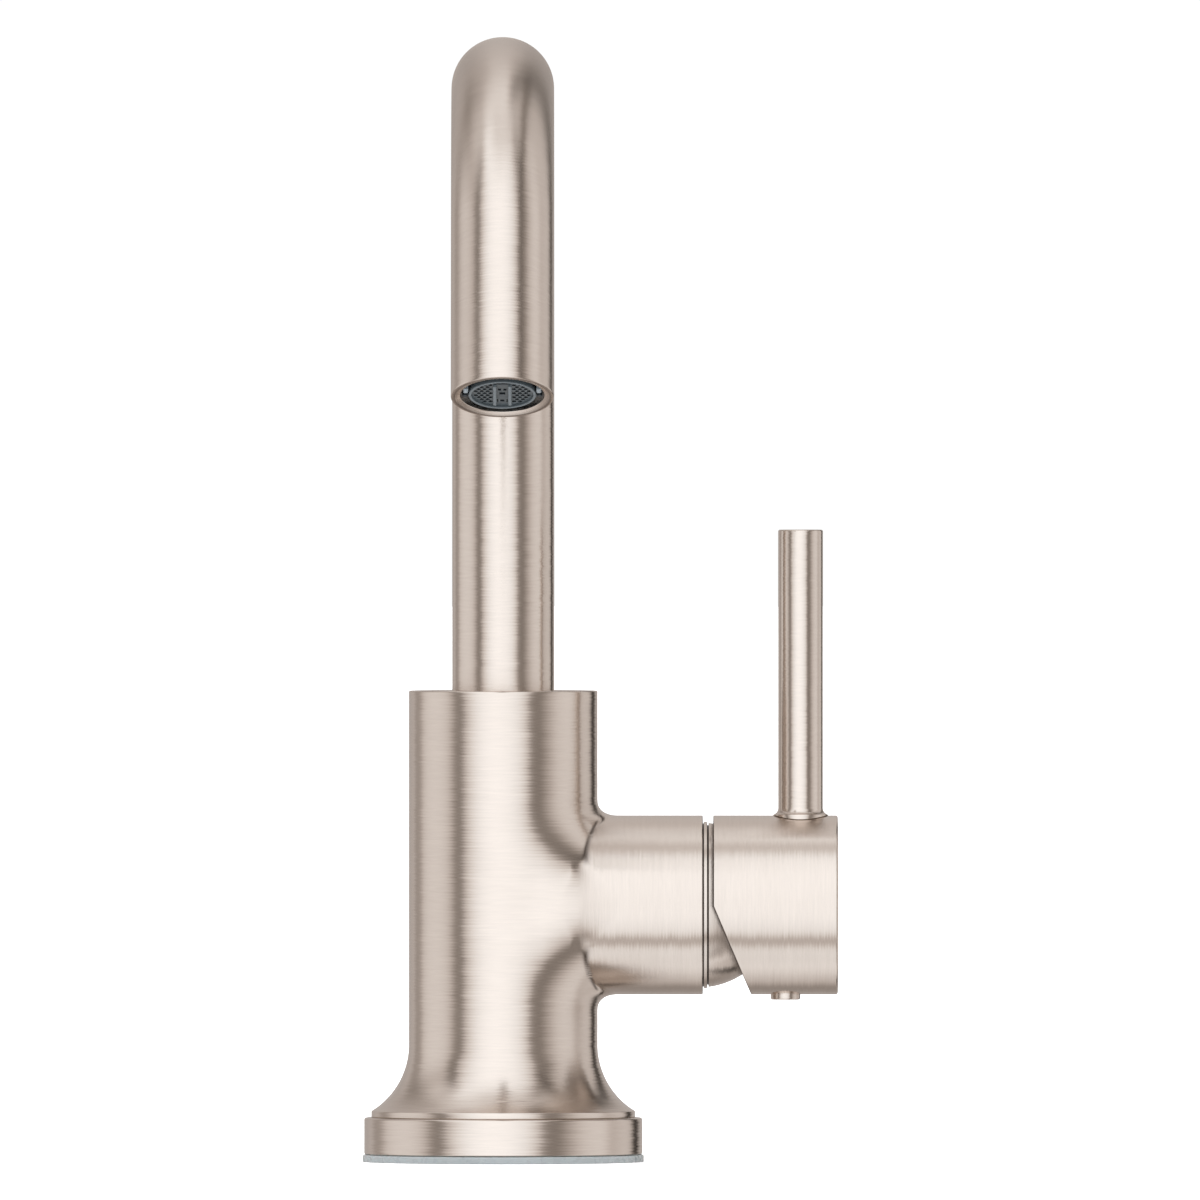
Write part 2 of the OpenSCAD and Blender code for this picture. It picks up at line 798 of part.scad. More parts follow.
module aerator_seal() {
    color(rubber) at_outlet()
        tube(aerator_r, aerator_bore_r, aerator_top, bushing_len - bushing_shoulder);
}

// Cartridge, moving parts

module cartridge_turret() {
    color(white_plastic) on_arm() difference() {
        union() {
            bar(turret_r, turret_bottom, turret_shoulder);
            bar(turret_neck_r, turret_shoulder - over, turret_top);
            rotate([0, 0, -stop_lug_angle / 2]) rotate_extrude(angle = stop_lug_angle)
                translate([turret_neck_r - over, neck_top + flat_gap])
                    square([stop_lug_r - turret_neck_r + over, turret_top - neck_top - flat_gap]);
        }
        block(2 * (turret_r + over), slider_w + flat_gap, turret_bottom - over, slider_top + slider_headroom);
        block(2 * stem_slot_z, 2 * stem_slot_y, slider_top, turret_top + over);
        translate([0, 0, pivot_x]) rotate([90, 0, 0])
            bar(pin_r + assembly_gap, -turret_r, turret_r);
        tube(turret_neck_r + over, turret_seal_mid_r - turret_seal_r - assembly_gap,
            turret_seal_x - turret_groove_share * turret_seal_r,
            turret_seal_x + turret_groove_share * turret_seal_r);
    }
}

module turret_o_ring() {
    color(rubber) on_arm() translate([0, 0, turret_seal_x])
        rotate_extrude() translate([turret_seal_mid_r, 0]) circle(r = turret_seal_r);
}

module stem_pin() {
    color(steel) on_arm() translate([0, 0, pivot_x]) rotate([90, 0, 0])
        bar(pin_r, -pin_half, pin_half);
}

// The slider's socket is on the pivot's axis at rest, and its body is set back by half the travel
module disc_slider() {
    color(white_plastic) on_arm() difference() {
        across_arm(0, -rest_offset) union() {
            block(slider_l, slider_w, slider_bottom, slider_top);
            bar(slider_peg_r, slider_bottom - slider_peg_h, slider_bottom + over);
        }
        bar(ball_r + ball_gap, ball_x - ball_r - flat_gap, slider_top + over);
    }
}

module moving_ceramic_disc() {
    color(ceramic) on_arm() difference() {
        across_arm(0, -rest_offset) bar(moving_r, moving_bottom, slider_bottom);
        across_arm(0, -rest_offset)
            bar(slider_peg_r + running_gap, slider_bottom - slider_peg_h - flat_gap, slider_bottom + over);
        across_arm(0, -rest_offset - chamber_down)
            bar(chamber_r, moving_bottom - over, moving_bottom + chamber_depth);
    }
}

module cartridge_stem() {
    color(steel) on_arm() difference() {
        union() {
            block(stem_side, stem_side, stem_foot, stem_tip);
            bar(stem_neck_r, ball_x, stem_foot + over);
            translate([0, 0, ball_x]) sphere(r = ball_r);
        }
        translate([0, 0, pivot_x]) rotate([90, 0, 0]) bar(pin_r + running_gap, -stem_side, stem_side);
    }
}

// Handle

module hub_outside() {
    rotate_extrude() polygon(concat(
        [[0, hub_start], [arm_r, hub_start]],
        arc_points([arm_r - hub_edge_r, hub_end - hub_edge_r], hub_edge_r, 0, 90),
        [[0, hub_end]]
    ));
}

// Everything on the arm's side of a plane that slopes away below the arm's axis
module tilt_cut() {
    low = arm_r + over;
    translate([0, low, arm_z]) rotate([90, 0, 0]) linear_extrude(2 * low) polygon([
        [hub_start - over, 0],
        [hub_start, 0],
        [hub_start + low * tan(hub_cut_angle), -low],
        [hub_start - over, -low]
    ]);
}

module handle_hub() {
    color(nickel) difference() {
        on_arm() difference() {
            hub_outside();
            intersection() {
                translate([0, 0, pivot_x]) sphere(r = cavity_r);
                bar(arm_r, hub_start - over, hub_floor);
            }
            block(stem_side + 2 * running_gap, stem_side + 2 * running_gap,
                hub_floor - over, stem_tip + flat_gap);
        }
        tilt_cut();
        translate([rod_x, 0, 0]) bar(stud_thread_r, hub_top - stud_half - flat_gap, hub_top + over);
        translate([screw_x, 0, 0]) {
            bar(clamp_r, hub_low, arm_z);
            bar(cap_shaft_r + running_gap, hub_low - over, hub_low + cap_shaft_h + flat_gap);
            bar(cap_r + running_gap, hub_low - over, hub_low + cap_seat);
        }
    }
}

// The rod's foot spreads in a hollow curve and is cut to sit on the round hub
module lever_rod() {
    foot_turn = acos((foot_r - foot_spread) / foot_r);
    color(nickel) difference() {
        translate([rod_x, 0, 0]) rotate_extrude() polygon(concat(
            [[0, foot_bottom], [rod_r + foot_spread, foot_bottom]],
            arc_points([rod_r + foot_r, foot_top], foot_r, 180 + foot_turn, 180),
            [[rod_r, rod_top - rod_top_edge], [rod_r - rod_top_edge, rod_top], [0, rod_top]]
        ));
        on_arm() bar(arm_r + seam_gap, hub_start, hub_end);
        translate([rod_x, 0, 0]) bar(stud_thread_r, hub_low, hub_top + stud_half + flat_gap);
    }
}

module lever_stud() {
    color(steel) translate([rod_x, 0, 0])
        bar(stud_thread_r - assembly_gap, hub_top - stud_half, hub_top + stud_half);
}

module clamping_screw() {
    clamp_top = arm_z - stem_side / 2;
    color(steel) translate([screw_x, 0, 0]) difference() {
        bar(clamp_r - assembly_gap, clamp_top - clamp_h, clamp_top);
        translate([0, 0, clamp_top - clamp_h - over])
            cylinder(r = clamp_drive_r, h = clamp_drive_depth + over, $fn = 6);
    }
}

module screw_cap() {
    color(nickel) translate([screw_x, 0, hub_low]) rotate_extrude() polygon([
        [0, -cap_h],
        [cap_r - cap_edge, -cap_h],
        [cap_r, cap_edge - cap_h],
        [cap_r, cap_seat - assembly_gap],
        [cap_shaft_r, cap_seat - assembly_gap],
        [cap_shaft_r, cap_shaft_h],
        [0, cap_shaft_h]
    ]);
}

valve_body();
base_ring();
base_gasket();
spout_thrust_washer();
spout_retaining_screw();
cartridge_base();
cartridge_seals();
cartridge_housing();
fixed_ceramic_disc();
bonnet_nut();
temperature_stop_ring();
trim_ring();
trim_dome();
spout_tube();
spout_adapter();
spout_slide_rings();
spout_o_rings();
outlet_bushing();
aerator_housing();
aerator_screen();
aerator_regulator();
aerator_seal();
cartridge_turret();
turret_o_ring();
stem_pin();
disc_slider();
moving_ceramic_disc();
cartridge_stem();
handle_hub();
lever_rod();
lever_stud();
clamping_screw();
screw_cap();
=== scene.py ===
from math import acos, asin, atan2, cos, degrees, hypot, pi, radians, sin, sqrt, tan

import bpy
import numpy as np
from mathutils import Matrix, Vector


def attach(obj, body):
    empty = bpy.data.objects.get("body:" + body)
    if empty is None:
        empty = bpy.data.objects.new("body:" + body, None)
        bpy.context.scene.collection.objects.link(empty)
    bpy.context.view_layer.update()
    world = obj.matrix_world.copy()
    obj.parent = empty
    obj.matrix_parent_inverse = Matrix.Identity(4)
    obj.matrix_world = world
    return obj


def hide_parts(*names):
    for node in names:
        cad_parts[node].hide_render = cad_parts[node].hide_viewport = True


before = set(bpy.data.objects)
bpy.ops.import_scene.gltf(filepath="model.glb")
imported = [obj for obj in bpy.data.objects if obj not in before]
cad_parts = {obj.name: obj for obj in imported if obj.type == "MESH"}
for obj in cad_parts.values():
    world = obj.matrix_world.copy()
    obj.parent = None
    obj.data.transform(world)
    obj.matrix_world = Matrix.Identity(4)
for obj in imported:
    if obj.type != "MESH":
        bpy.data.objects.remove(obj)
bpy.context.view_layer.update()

MM = 0.001
WELD = 0.002  # corners closer than this become one
UV_MM = 100  # millimetres to one unit of UV
GRAIN_SHIFT = 0.37  # share of a piece's place that is added to its grain

# Sizes, the same as in the part's source
BODY_R = 21.07
BODY_TOP = 105.2
RING_TOP = 9.9
RING_R = 31.05
RING_BORE = 24.05
GASKET_T = 1.6
GASKET_R = 31.39
TAP_HOLE_R = 17.5
FLANGE_R = 29.45
FLANGE_EDGE = 1.43
FLARE_R = 17.41
ARM_Z = 57.34
ARM_R = 20.0
ARM_END = 44.57
PIVOT_X = 43.4
NUT_R = 17.0
NUT_DEPTH = 10.7
CART_R = 14.15
SEAT_X = 17.0
SOCKET_R = 11.55
SOCKET_FLOOR = 73.5
GRUB_Z = 82.24
GRUB_R = 2.5
TUBE_R = 11.4
TUBE_BORE = 10.1
TUBE_FOOT = 97.958
BEND_Z = 188.85
BEND_R = 50.7
BEND_ANGLE = radians(156.5)
LEG = 41.3
OUTLET_R = 9.3
TIP_BEVEL = 0.546
BEVEL_SLOPE = 0.3
HUB_START = 46.86
HUB_END = 74.71
CAVITY_R = 18.9
HUB_FLOOR = 60.505
CUT = tan(radians(23))
ROD_X = 66.36
ROD_R = 5.0
ROD_TOP = 141.1
FOOT_R = 1.5
FOOT_SPREAD = 1.15
FOOT_H = 1.65
SCREW_X = 63.0
CAP_R = 3.3
CAP_H = 1.15
DOME_R = 18.5
TRIM_R = 18.6
TRIM_BORE = 15.6

# Outlines


def unit(v):
    """Vectors of length one, along the last axis."""
    length = np.linalg.norm(v, axis=-1, keepdims=True)
    return v / np.where(length < 1e-12, 1, length)


def outline(corners, step=3.0, seg=5):
    """Points and unit tangents along an outline of (r, z, rounding) corners, in lines about a step long.

    A corner without rounding is a point on a smooth line.
    """
    pts = np.array([c[:2] for c in corners], float)
    rounds = [c[2] if len(c) > 2 else 0 for c in corners]
    out, ways = [pts[0]], [unit(pts[1] - pts[0])]

    def line(start, end, direction):
        n = max(1, int(np.linalg.norm(end - start) / step))
        for i in range(1, n + 1):
            out.append(start + (end - start) * i / n)
            ways.append(direction)

    last = pts[0]
    for before, corner, after, rounding in zip(pts, pts[1:], pts[2:], rounds[1:]):
        d0, d1 = unit(corner - before), unit(after - corner)
        l0, l1 = np.linalg.norm(corner - before), np.linalg.norm(after - corner)
        if rounding == 0:
            line(last, corner, d0)
            ways[-1] = unit(d0 * l0 + d1 * l1)
            last = corner
            continue
        bend = acos(max(-1, min(1, float(d0 @ d1))))
        # the rounding takes less than half of either side
        reach = min(rounding * tan(bend / 2), 0.49 * l0, 0.49 * l1)
        start = corner - d0 * reach
        line(last, start, d0)
        radius = reach / tan(bend / 2)
        inward = unit(d1 - d0 * float(d0 @ d1))
        for k in range(1, seg + 1):
            t = bend * k / seg
            ways.append((d0 * sin(bend - t) + d1 * sin(t)) / sin(bend))
            out.append(start + radius * (d0 * sin(t) + inward * (1 - cos(t))))
        last = corner + d1 * reach
    line(last, pts[-1], unit(pts[-1] - pts[-2]))
    return np.array(out), np.array(ways)


def closed_outline(corners, step=2.0):
    """An outline that ends where it begins, halfway along the side from the last corner to the first."""
    first, last = corners[0], corners[-1]
    mid = ((first[0] + last[0]) / 2, (first[1] + last[1]) / 2)
    return outline([mid] + list(corners) + [mid], step)


def arc(centre, r, a0, a1, n):
    """Points on an arc, from angle a0 to angle a1 in degrees."""
    return [
        (centre[0] + r * cos(radians(a)), centre[1] + r * sin(radians(a)), 0)
        for a in np.linspace(a0, a1, n + 1)
    ]


# Patches: grids of points P with normals N, brush directions B, grain places G, UVs U and shades S


def frame_matrix(x_axis, y_axis, z_axis, origin):
    m = np.eye(4)
    m[:3, 0], m[:3, 1], m[:3, 2], m[:3, 3] = x_axis, y_axis, z_axis, origin
    return m


UPRIGHT = np.eye(4)
ON_ARM = frame_matrix((0, 0, -1), (0, 1, 0), (1, 0, 0), (0, 0, ARM_Z))
ON_ROD = frame_matrix(*np.eye(3), (ROD_X, 0, 0))
ON_SCREW = frame_matrix(*np.eye(3), (SCREW_X, 0, ARM_Z - ARM_R))

BEND_C = np.array((0.0, -BEND_R, BEND_Z))
BEND_END = np.array((0.0, cos(BEND_ANGLE), sin(BEND_ANGLE)))
LEG_DIR = np.array((0.0, -sin(BEND_ANGLE), cos(BEND_ANGLE)))
OUTLET = BEND_C + BEND_R * BEND_END + LEG * LEG_DIR
AT_OUTLET = frame_matrix((1, 0, 0), np.cross(-LEG_DIR, (1, 0, 0)), -LEG_DIR, OUTLET)


def to_world(m, p):
    return p @ m[:3, :3].T + m[:3, 3]


def grain_and_uv(r, angles, line):
    """Grain places and UVs round an axis, from a radius, the angles and the points along one line."""
    steps = np.linalg.norm(np.diff(line, axis=0), axis=1)
    path = np.concatenate([[0], np.cumsum(steps)]) + 0 * angles[:, None]
    c, s = np.cos(angles)[:, None], np.sin(angles)[:, None]
    grain = np.stack([r * c + 0 * path, r * s + 0 * path, path], -1)
    return grain, np.stack([angles[:, None] / (2 * pi) + 0 * path, path / UV_MM], -1)


def lathe(m, profile, angles):
    """A patch turned round local Z. profile is an outline, or a function of the angle that gives one."""
    rows = [profile(a) if callable(profile) else profile for a in angles]
    pts, way = np.array([r[0] for r in rows]), np.array([r[1] for r in rows])
    c, s = np.cos(angles)[:, None], np.sin(angles)[:, None]
    local = np.stack([pts[..., 0] * c, pts[..., 0] * s, pts[..., 1]], -1)
    along = np.stack([way[..., 0] * c, way[..., 0] * s, way[..., 1]], -1)
    normal = np.stack([way[..., 1] * c, way[..., 1] * s, -way[..., 0]], -1)
    if callable(profile):
        around = np.gradient(local, angles, axis=0)
        # the first and last lines are the same one
        around[0] = around[-1] = (local[1] - local[-2]) / (angles[1] - angles[0] + angles[-1] - angles[-2])
        across = np.cross(around, along)
        weak = np.linalg.norm(across, axis=-1, keepdims=True) < 1e-6
        normal = np.where(weak, normal, unit(across))
    grain, uv = grain_and_uv(float(pts[..., 0].max()), angles, pts[0])
    grain = grain + m[:3, 3] * GRAIN_SHIFT
    return dict(P=to_world(m, local), N=normal @ m[:3, :3].T, B=along @ m[:3, :3].T, G=grain, U=uv)


def turn(n, start=0.0, end=2 * pi):
    return np.linspace(start, end, n + 1)


def darken(patch, where, amount=0.85):
    """Paints shade into the colour of a patch, at the places where a crevice keeps the light out."""
    patch["S"] = np.where(where, amount, 0.0)[..., None]
    return patch


def arm_grain(p):
    """Grain places on what is turned round the arm's axis."""
    return np.stack([p[..., 2] - ARM_Z, p[..., 1], p[..., 0]], -1)


def turned_ends(patch, flat):
    """Lets the grain run round the axis on the flat faces too, by their radius."""
    g = patch["G"]
    g[..., 2] = np.where(flat, np.hypot(g[..., 0], g[..., 1]), g[..., 2])
    return patch


def add_object(name, data):
    obj = bpy.data.objects.new(name, data)
    bpy.context.scene.collection.objects.link(obj)
    return obj


class Mesh:
    """Collects the cells of patches and welds them into one mesh."""

    def __init__(self):
        self.rows = []

    def add(self, patch):
        patch.setdefault("S", np.zeros(patch["P"].shape[:2] + (1,)))

        def corners(a):
            cells = np.stack([a[:-1, :-1], a[1:, :-1], a[1:, 1:], a[:-1, 1:]], 2)
            return cells.reshape(-1, 4, a.shape[-1])

        q = {k: corners(patch[k]) for k in "PNBGUS"}
        if "skip" in patch:
            keep = ~patch["skip"].reshape(-1)
            q = {k: v[keep] for k, v in q.items()}
        face = np.cross(q["P"][:, 2] - q["P"][:, 0], q["P"][:, 3] - q["P"][:, 1])
        if np.einsum("ij,ij->i", face, q["N"].sum(1)).sum() < 0:
            q = {k: v[:, ::-1] for k, v in q.items()}
        self.rows.append(q)
        return self

    def build(self, name, material):
        q = {k: np.concatenate([r[k] for r in self.rows]) for k in "PNBGUS"}
        flat = q["P"].reshape(-1, 3)
        key = np.round(flat / WELD).astype(np.int64)
        _, first, index = np.unique(key, axis=0, return_index=True, return_inverse=True)
        loops, starts, pick = [], [], []
        for f, face in enumerate(index.reshape(-1, 4)):
            seen, corner = [], []
            for c in range(4):
                if face[c] not in seen:
                    seen.append(face[c])
                    corner.append(4 * f + c)
            if len(seen) > 2:
                starts.append(len(loops))
                loops.extend(seen)
                pick.extend(corner)

        def picked(k):
            return q[k].reshape(-1, q[k].shape[-1])[pick]

        mesh = bpy.data.meshes.new(name)
        mesh.vertices.add(len(first))
        mesh.vertices.foreach_set("co", (flat[first] * MM).astype(np.float32).ravel())
        mesh.loops.add(len(loops))
        mesh.loops.foreach_set("vertex_index", np.array(loops, np.int32))
        mesh.polygons.add(len(starts))
        mesh.polygons.foreach_set("loop_start", np.array(starts, np.int32))
        mesh.polygons.foreach_set("use_smooth", np.ones(len(starts), bool))
        mesh.update(calc_edges=True)
        for attr, k, kind, field in (
            ("brush", "B", "FLOAT_VECTOR", "vector"),
            ("grain", "G", "FLOAT_VECTOR", "vector"),
            ("shade", "S", "FLOAT", "value"),
        ):
            data = mesh.attributes.new(attr, kind, "CORNER").data
            data.foreach_set(field, picked(k).astype(np.float32).ravel())
        uv = mesh.uv_layers.new(name="UVMap")
        uv.data.foreach_set("uv", picked("U").astype(np.float32).ravel())
        mesh.validate(clean_customdata=False)
        normals = unit(picked("N"))
        if len(mesh.loops) == len(normals):
            mesh.normals_split_custom_set(normals.tolist())
        mesh.materials.append(material)
        return add_object(name, mesh)


def cut_hole(patch, centre, axis, r, surface, margin, rows=6):
    """Takes a block of cells out of a patch. Returns the patch from there to a round hole, and its rim."""
    centre, axis = np.array(centre, float), np.array(axis, float)
    side = unit(np.cross(axis, (0.31, 0.77, 0.55)))
    other = np.cross(axis, side)
    rel = patch["P"] - centre
    a, b, up = rel @ side, rel @ other, rel @ axis
    near = (np.hypot(a, b) < r * margin) & (patch["N"] @ axis > 0.2) & (np.abs(up) < 8)
    ii, jj = np.nonzero(near)
    n, k = patch["P"].shape[:2]
    i0, i1 = max(ii.min() - 1, 0), min(ii.max() + 1, n - 1)
    j0, j1 = max(jj.min() - 1, 0), min(jj.max() + 1, k - 1)
    skip = patch.setdefault("skip", np.zeros((n - 1, k - 1), bool))
    skip[i0:i1, j0:j1] = True
    loop = (
        [(i, j0) for i in range(i0, i1)]
        + [(i1, j) for j in range(j0, j1)]
        + [(i, j1) for i in range(i1, i0, -1)]
        + [(i0, j) for j in range(j1, j0, -1)]
        + [(i0, j0)]
    )
    idx = tuple(np.array(loop).T)
    edge_a, edge_b = a[idx][:, None], b[idx][:, None]
    angle = np.unwrap(np.arctan2(b[idx], a[idx]))[:, None]
    t = np.arange(rows + 1) / rows
    wa, wb = edge_a * (1 - t) + r * np.cos(angle) * t, edge_b * (1 - t) + r * np.sin(angle) * t
    p, nrm = surface(centre + wa[..., None] * side + wb[..., None] * other)
    p[:, 0], nrm[:, 0] = patch["P"][idx], patch["N"][idx]
    brush, grain, uv = (np.repeat(patch[key][idx][:, None], rows + 1, 1) for key in "BGU")
    brush = unit(brush - (brush * nrm).sum(-1, keepdims=True) * nrm)
    ring = dict(P=p, N=nrm, B=brush, G=grain + (p - p[:, :1]), U=uv)
    out = np.cos(angle) * side + np.sin(angle) * other
    return ring, dict(centre=centre, axis=axis, side=side, other=other, r=r, out=out, edge=p[:, -1])


def hole_wall(rim, floor, bevel=0.15, rows=3):
    """The wall of a round hole from its rim to a floor on the hole's axis, with a small bevel at the mouth."""
    axis, out, edge = rim["axis"], rim["out"], rim["edge"]
    deep = rim["centre"] + out * rim["r"]
    deep[:, np.abs(axis).argmax()] = floor
    deep = deep - out * bevel
    base = edge - out * bevel - axis * bevel
    stages = [edge, base] + [base + (deep - base) * (i / rows) for i in range(rows + 1)]
    normals = [unit(axis - out), unit(0.3 * axis - out)] + [-out] * (rows + 1)
    p, n = np.stack(stages, 1), np.stack(normals, 1)
    g = np.stack([p @ rim["side"], p @ rim["other"], p @ axis], -1)
    return dict(P=p, N=n, B=np.broadcast_to(axis, p.shape), G=g, U=g[..., :2] / UV_MM)


# Materials


class Nodes:
    """Adds nodes to a tree. An input is a number, a vector or another node's output."""

    def __init__(self, tree):
        tree.nodes.clear()
        self.tree = tree

    def node(self, kind, inputs=None, **props):
        n = self.tree.nodes.new(kind)
        for k, v in props.items():
            setattr(n, k, v)
        for k, v in (inputs or {}).items():
            if isinstance(v, bpy.types.NodeSocket):
                self.tree.links.new(v, n.inputs[k])
            else:
                n.inputs[k].default_value = v
        return n

    def math(self, op, *values):
        return self.node("ShaderNodeMath", dict(enumerate(values)), operation=op).outputs[0]

    def mul(self, a, b):
        return self.math("MULTIPLY", a, b)

    def mul_add(self, a, b, c):
        return self.math("MULTIPLY_ADD", a, b, c)

    def vector(self, op, inputs):
        return self.node("ShaderNodeVectorMath", inputs, operation=op).outputs[0]

    def separate(self, vector):
        return self.node("ShaderNodeSeparateXYZ", {0: vector}).outputs

    def attribute(self, name, output="Vector"):
        return self.node("ShaderNodeAttribute", attribute_name=name).outputs[output]

    def on_object(self):
        return self.node("ShaderNodeTexCoord").outputs["Object"]

    def scaled(self, vector, scale, shift=(0, 0, 0)):
        inputs = {"Vector": vector, "Scale": scale, "Location": shift}
        return self.node("ShaderNodeMapping", inputs).outputs[0]

    def noise(self, vector, scale, shift=(0, 0, 0), detail=3.0, rough=0.6):
        """Noise over a vector that is scaled and then shifted."""
        vector = self.scaled(vector, scale, shift)
        inputs = {"Vector": vector, "Scale": 1.0, "Detail": detail, "Roughness": rough}
        return self.node("ShaderNodeTexNoise", inputs).outputs[0]

    def map_range(self, value, start, end, low=0.0, high=1.0, kind="LINEAR"):
        """A number from low to high, for a value from start to end."""
        inputs = {"Value": value, "From Min": start, "From Max": end, "To Min": low, "To Max": high}
        return self.node("ShaderNodeMapRange", inputs, interpolation_type=kind).outputs[0]

    def mix(self, fac, a, b):
        return self.node("ShaderNodeMix", {0: fac, 2: a, 3: b}).outputs[0]

    def mix_colour(self, fac, a, b):
        return self.node("ShaderNodeMix", {0: fac, 6: a, 7: b}, data_type="RGBA").outputs[2]

    def clouded(self, noise, low, high):
        """A colour that goes with a noise from one to another."""
        return self.mix_colour(self.map_range(noise, 0.3, 0.7), (*low, 1), (*high, 1))

    def bump(self, height, strength, distance, **inputs):
        inputs.update(Height=height, Strength=strength, Distance=distance)
        return self.node("ShaderNodeBump", inputs).outputs[0]

    def surface(self, inputs):
        shader = self.node("ShaderNodeBsdfPrincipled", inputs)
        self.node("ShaderNodeOutputMaterial", {"Surface": shader.outputs["BSDF"]})


def new_material(name):
    mat = bpy.data.materials.new(name)
    mat.use_nodes = True
    return mat, Nodes(mat.node_tree)


def times(colour, factor):
    return [min(1, c * factor) for c in colour]


NICKEL = (0.655, 0.572, 0.508)
# the colour that painted shade darkens the nickel towards, in gaps, grooves and creases
CREVICE_SHADE_COLOUR = (0.045, 0.026, 0.017, 1)
SKIN_BUMP = 0.00002  # metres


def brush_noises(t, grain):
    """Hairlines, coarser lines, broad bands, clouds and the lean of the grooves, stretched round the piece."""
    uneven = t.noise(grain, (0.06, 0.06, 1.7), (6, 1, 2), detail=0.0)
    drift = t.noise(grain, (0.05, 0.05, 0.4), (2, 4, 9), detail=1.0)
    wave = t.math("SINE", t.mul_add(t.separate(grain)[2], 9.3, t.mul(drift, 5.0)))
    return [
        t.noise(grain, (0.09, 0.09, 4.2), detail=2.0, rough=0.7),
        t.noise(grain, (0.16, 0.16, 1.9), (3, 5, 7), detail=2.5),
        t.noise(grain, (0.02, 0.02, 0.25), (9, 2, 4), detail=2.0),
        t.noise(grain, (0.05, 0.05, 0.05), (1, 8, 3)),
        t.mul_add(wave, 0.011, t.mul_add(uneven, 0.044, -0.022)),
    ]


def brushed_nickel(name, two_way=False):
    """Nickel with turned or brushed lines, which come from stretched noise in colour, gloss, lean and bump.

    With two_way the lines follow the arm wherever the brush does, so that they cross over at the junction.
    """
    mat, t = new_material(name)
    brush = t.attribute("brush")
    spaces = dict(vector_type="VECTOR", convert_from="OBJECT", convert_to="WORLD")
    turned = t.node("ShaderNodeVectorTransform", {"Vector": brush}, **spaces).outputs[0]
    layers = brush_noises(t, t.attribute("grain"))
    if two_way:
        xyz = t.separate(t.scaled(t.on_object(), (1 / MM, 1 / MM, 1 / MM), (0, 0, -ARM_Z)))
        swapped = t.node("ShaderNodeCombineXYZ", {0: xyz[2], 1: xyz[1], 2: xyz[0]}).outputs[0]
        along = t.math("ABSOLUTE", t.separate(brush)[0])
        # the foot and the top face keep the upright lines
        near = t.math("LESS_THAN", t.math("ABSOLUTE", xyz[2]), 33.0)
        side = t.mul(t.map_range(along, 0.25, 0.75), near)
        layers = [t.mix(side, a, b) for a, b in zip(layers, brush_noises(t, swapped))]
    hair, line, band, cloud, lean = layers
    tone = t.mul_add(hair, 0.5, t.mul(line, 0.5))
    colour = t.clouded(tone, times(NICKEL, 0.965), times(NICKEL, 1.03))
    gloss = t.mul_add(t.mul_add(hair, 0.5, band), 0.06, 0.175)
    # each groove leans a little, which breaks the edges of the reflections into fine ticks
    normal = t.node("ShaderNodeNewGeometry").outputs["Normal"]
    aside = t.vector("CROSS_PRODUCT", {0: normal, 1: turned})
    aside = t.vector("SCALE", {0: aside, "Scale": lean})
    leant = t.vector("NORMALIZE", {0: t.vector("ADD", {0: normal, 1: aside})})
    height = t.mul_add(line, 0.7, t.mul(hair, 0.3))
    t.surface({
        # painted shade: the shade attribute darkens the colour towards the crevice colour in gaps, grooves and
        # the junction's crease
        "Base Color": t.mix_colour(t.attribute("shade", "Fac"), colour, CREVICE_SHADE_COLOUR),
        "Metallic": 1.0,
        "Roughness": t.mul_add(cloud, 0.05, gloss),
        "Anisotropic": 0.8,
        "Tangent": turned,
        "Normal": t.bump(height, 0.55, 2 * SKIN_BUMP, Normal=leant),
    })
    return mat


def plain_metal(name, colour, rough):
    """Turned metal on the hidden parts, whose grain follows the object's own place."""
    mat, t = new_material(name)
    fine = t.noise(t.on_object(), (600, 600, 1800))
    broad = t.noise(t.on_object(), (60, 60, 60))
    t.surface({
        "Base Color": t.clouded(fine, times(colour, 0.85), colour),
        "Metallic": 1.0,
        "Roughness": t.mul_add(broad, 0.2, rough - 0.1),
        "Normal": t.bump(fine, 0.4, SKIN_BUMP),
    })
    return mat


def moulded(name, colour, rough, variation=0.12, coat=0.0):
    """Moulded plastic, rubber or ceramic with a fine skin and a little unevenness of tone."""
    mat, t = new_material(name)
    skin = t.noise(t.on_object(), (900, 900, 900), detail=4.0)
    broad = t.noise(t.on_object(), (90, 90, 90))
    t.surface({
        "Base Color": t.clouded(broad, times(colour, 1 - variation), times(colour, 1 + variation)),
        "Roughness": t.mul_add(skin, 0.16, rough - 0.08),
        "Coat Weight": coat,
        "Normal": t.bump(skin, 0.5, SKIN_BUMP),
    })
    return mat


def gasket_plastic():
    """Milky translucent plastic with a faint blue cast."""
    mat, t = new_material("clear_plastic")
    skin = t.noise(t.on_object(), (500, 500, 500))
    broad = t.noise(t.on_object(), (70, 70, 70))
    t.surface({
        "Base Color": t.clouded(broad, (0.295, 0.315, 0.32), (0.325, 0.345, 0.35)),
        "Roughness": t.mul_add(skin, 0.12, 0.22),
        "Subsurface Weight": 0.35,
        "Subsurface Radius": (0.002, 0.003, 0.003),
        "Subsurface Scale": 1.0,
    })
    return mat


def slate_insert():
    """Dark slate plastic whose tone follows the shade attribute, from pale lugs at 0 to black at 1; the near
    black on the holes' walls and deep in the ring is painted shade.
    """
    mat, t = new_material("slate_plastic_insert")
    skin = t.noise(t.on_object(), (900, 900, 900))
    shade = t.attribute("shade", "Fac")
    tone = t.mix_colour(t.map_range(shade, 0.0, 0.4), (0.22, 0.25, 0.27, 1), (0.062, 0.076, 0.084, 1))
    tone = t.mix_colour(t.map_range(shade, 0.4, 1.0), tone, (0.008, 0.011, 0.014, 1))
    t.surface({
        "Base Color": t.mix_colour(t.mul(skin, 0.3), tone, (0.02, 0.026, 0.03, 1)),
        "Roughness": t.mul_add(skin, 0.2, 0.3),
        "Normal": t.bump(skin, 0.4, SKIN_BUMP),
    })
    return mat


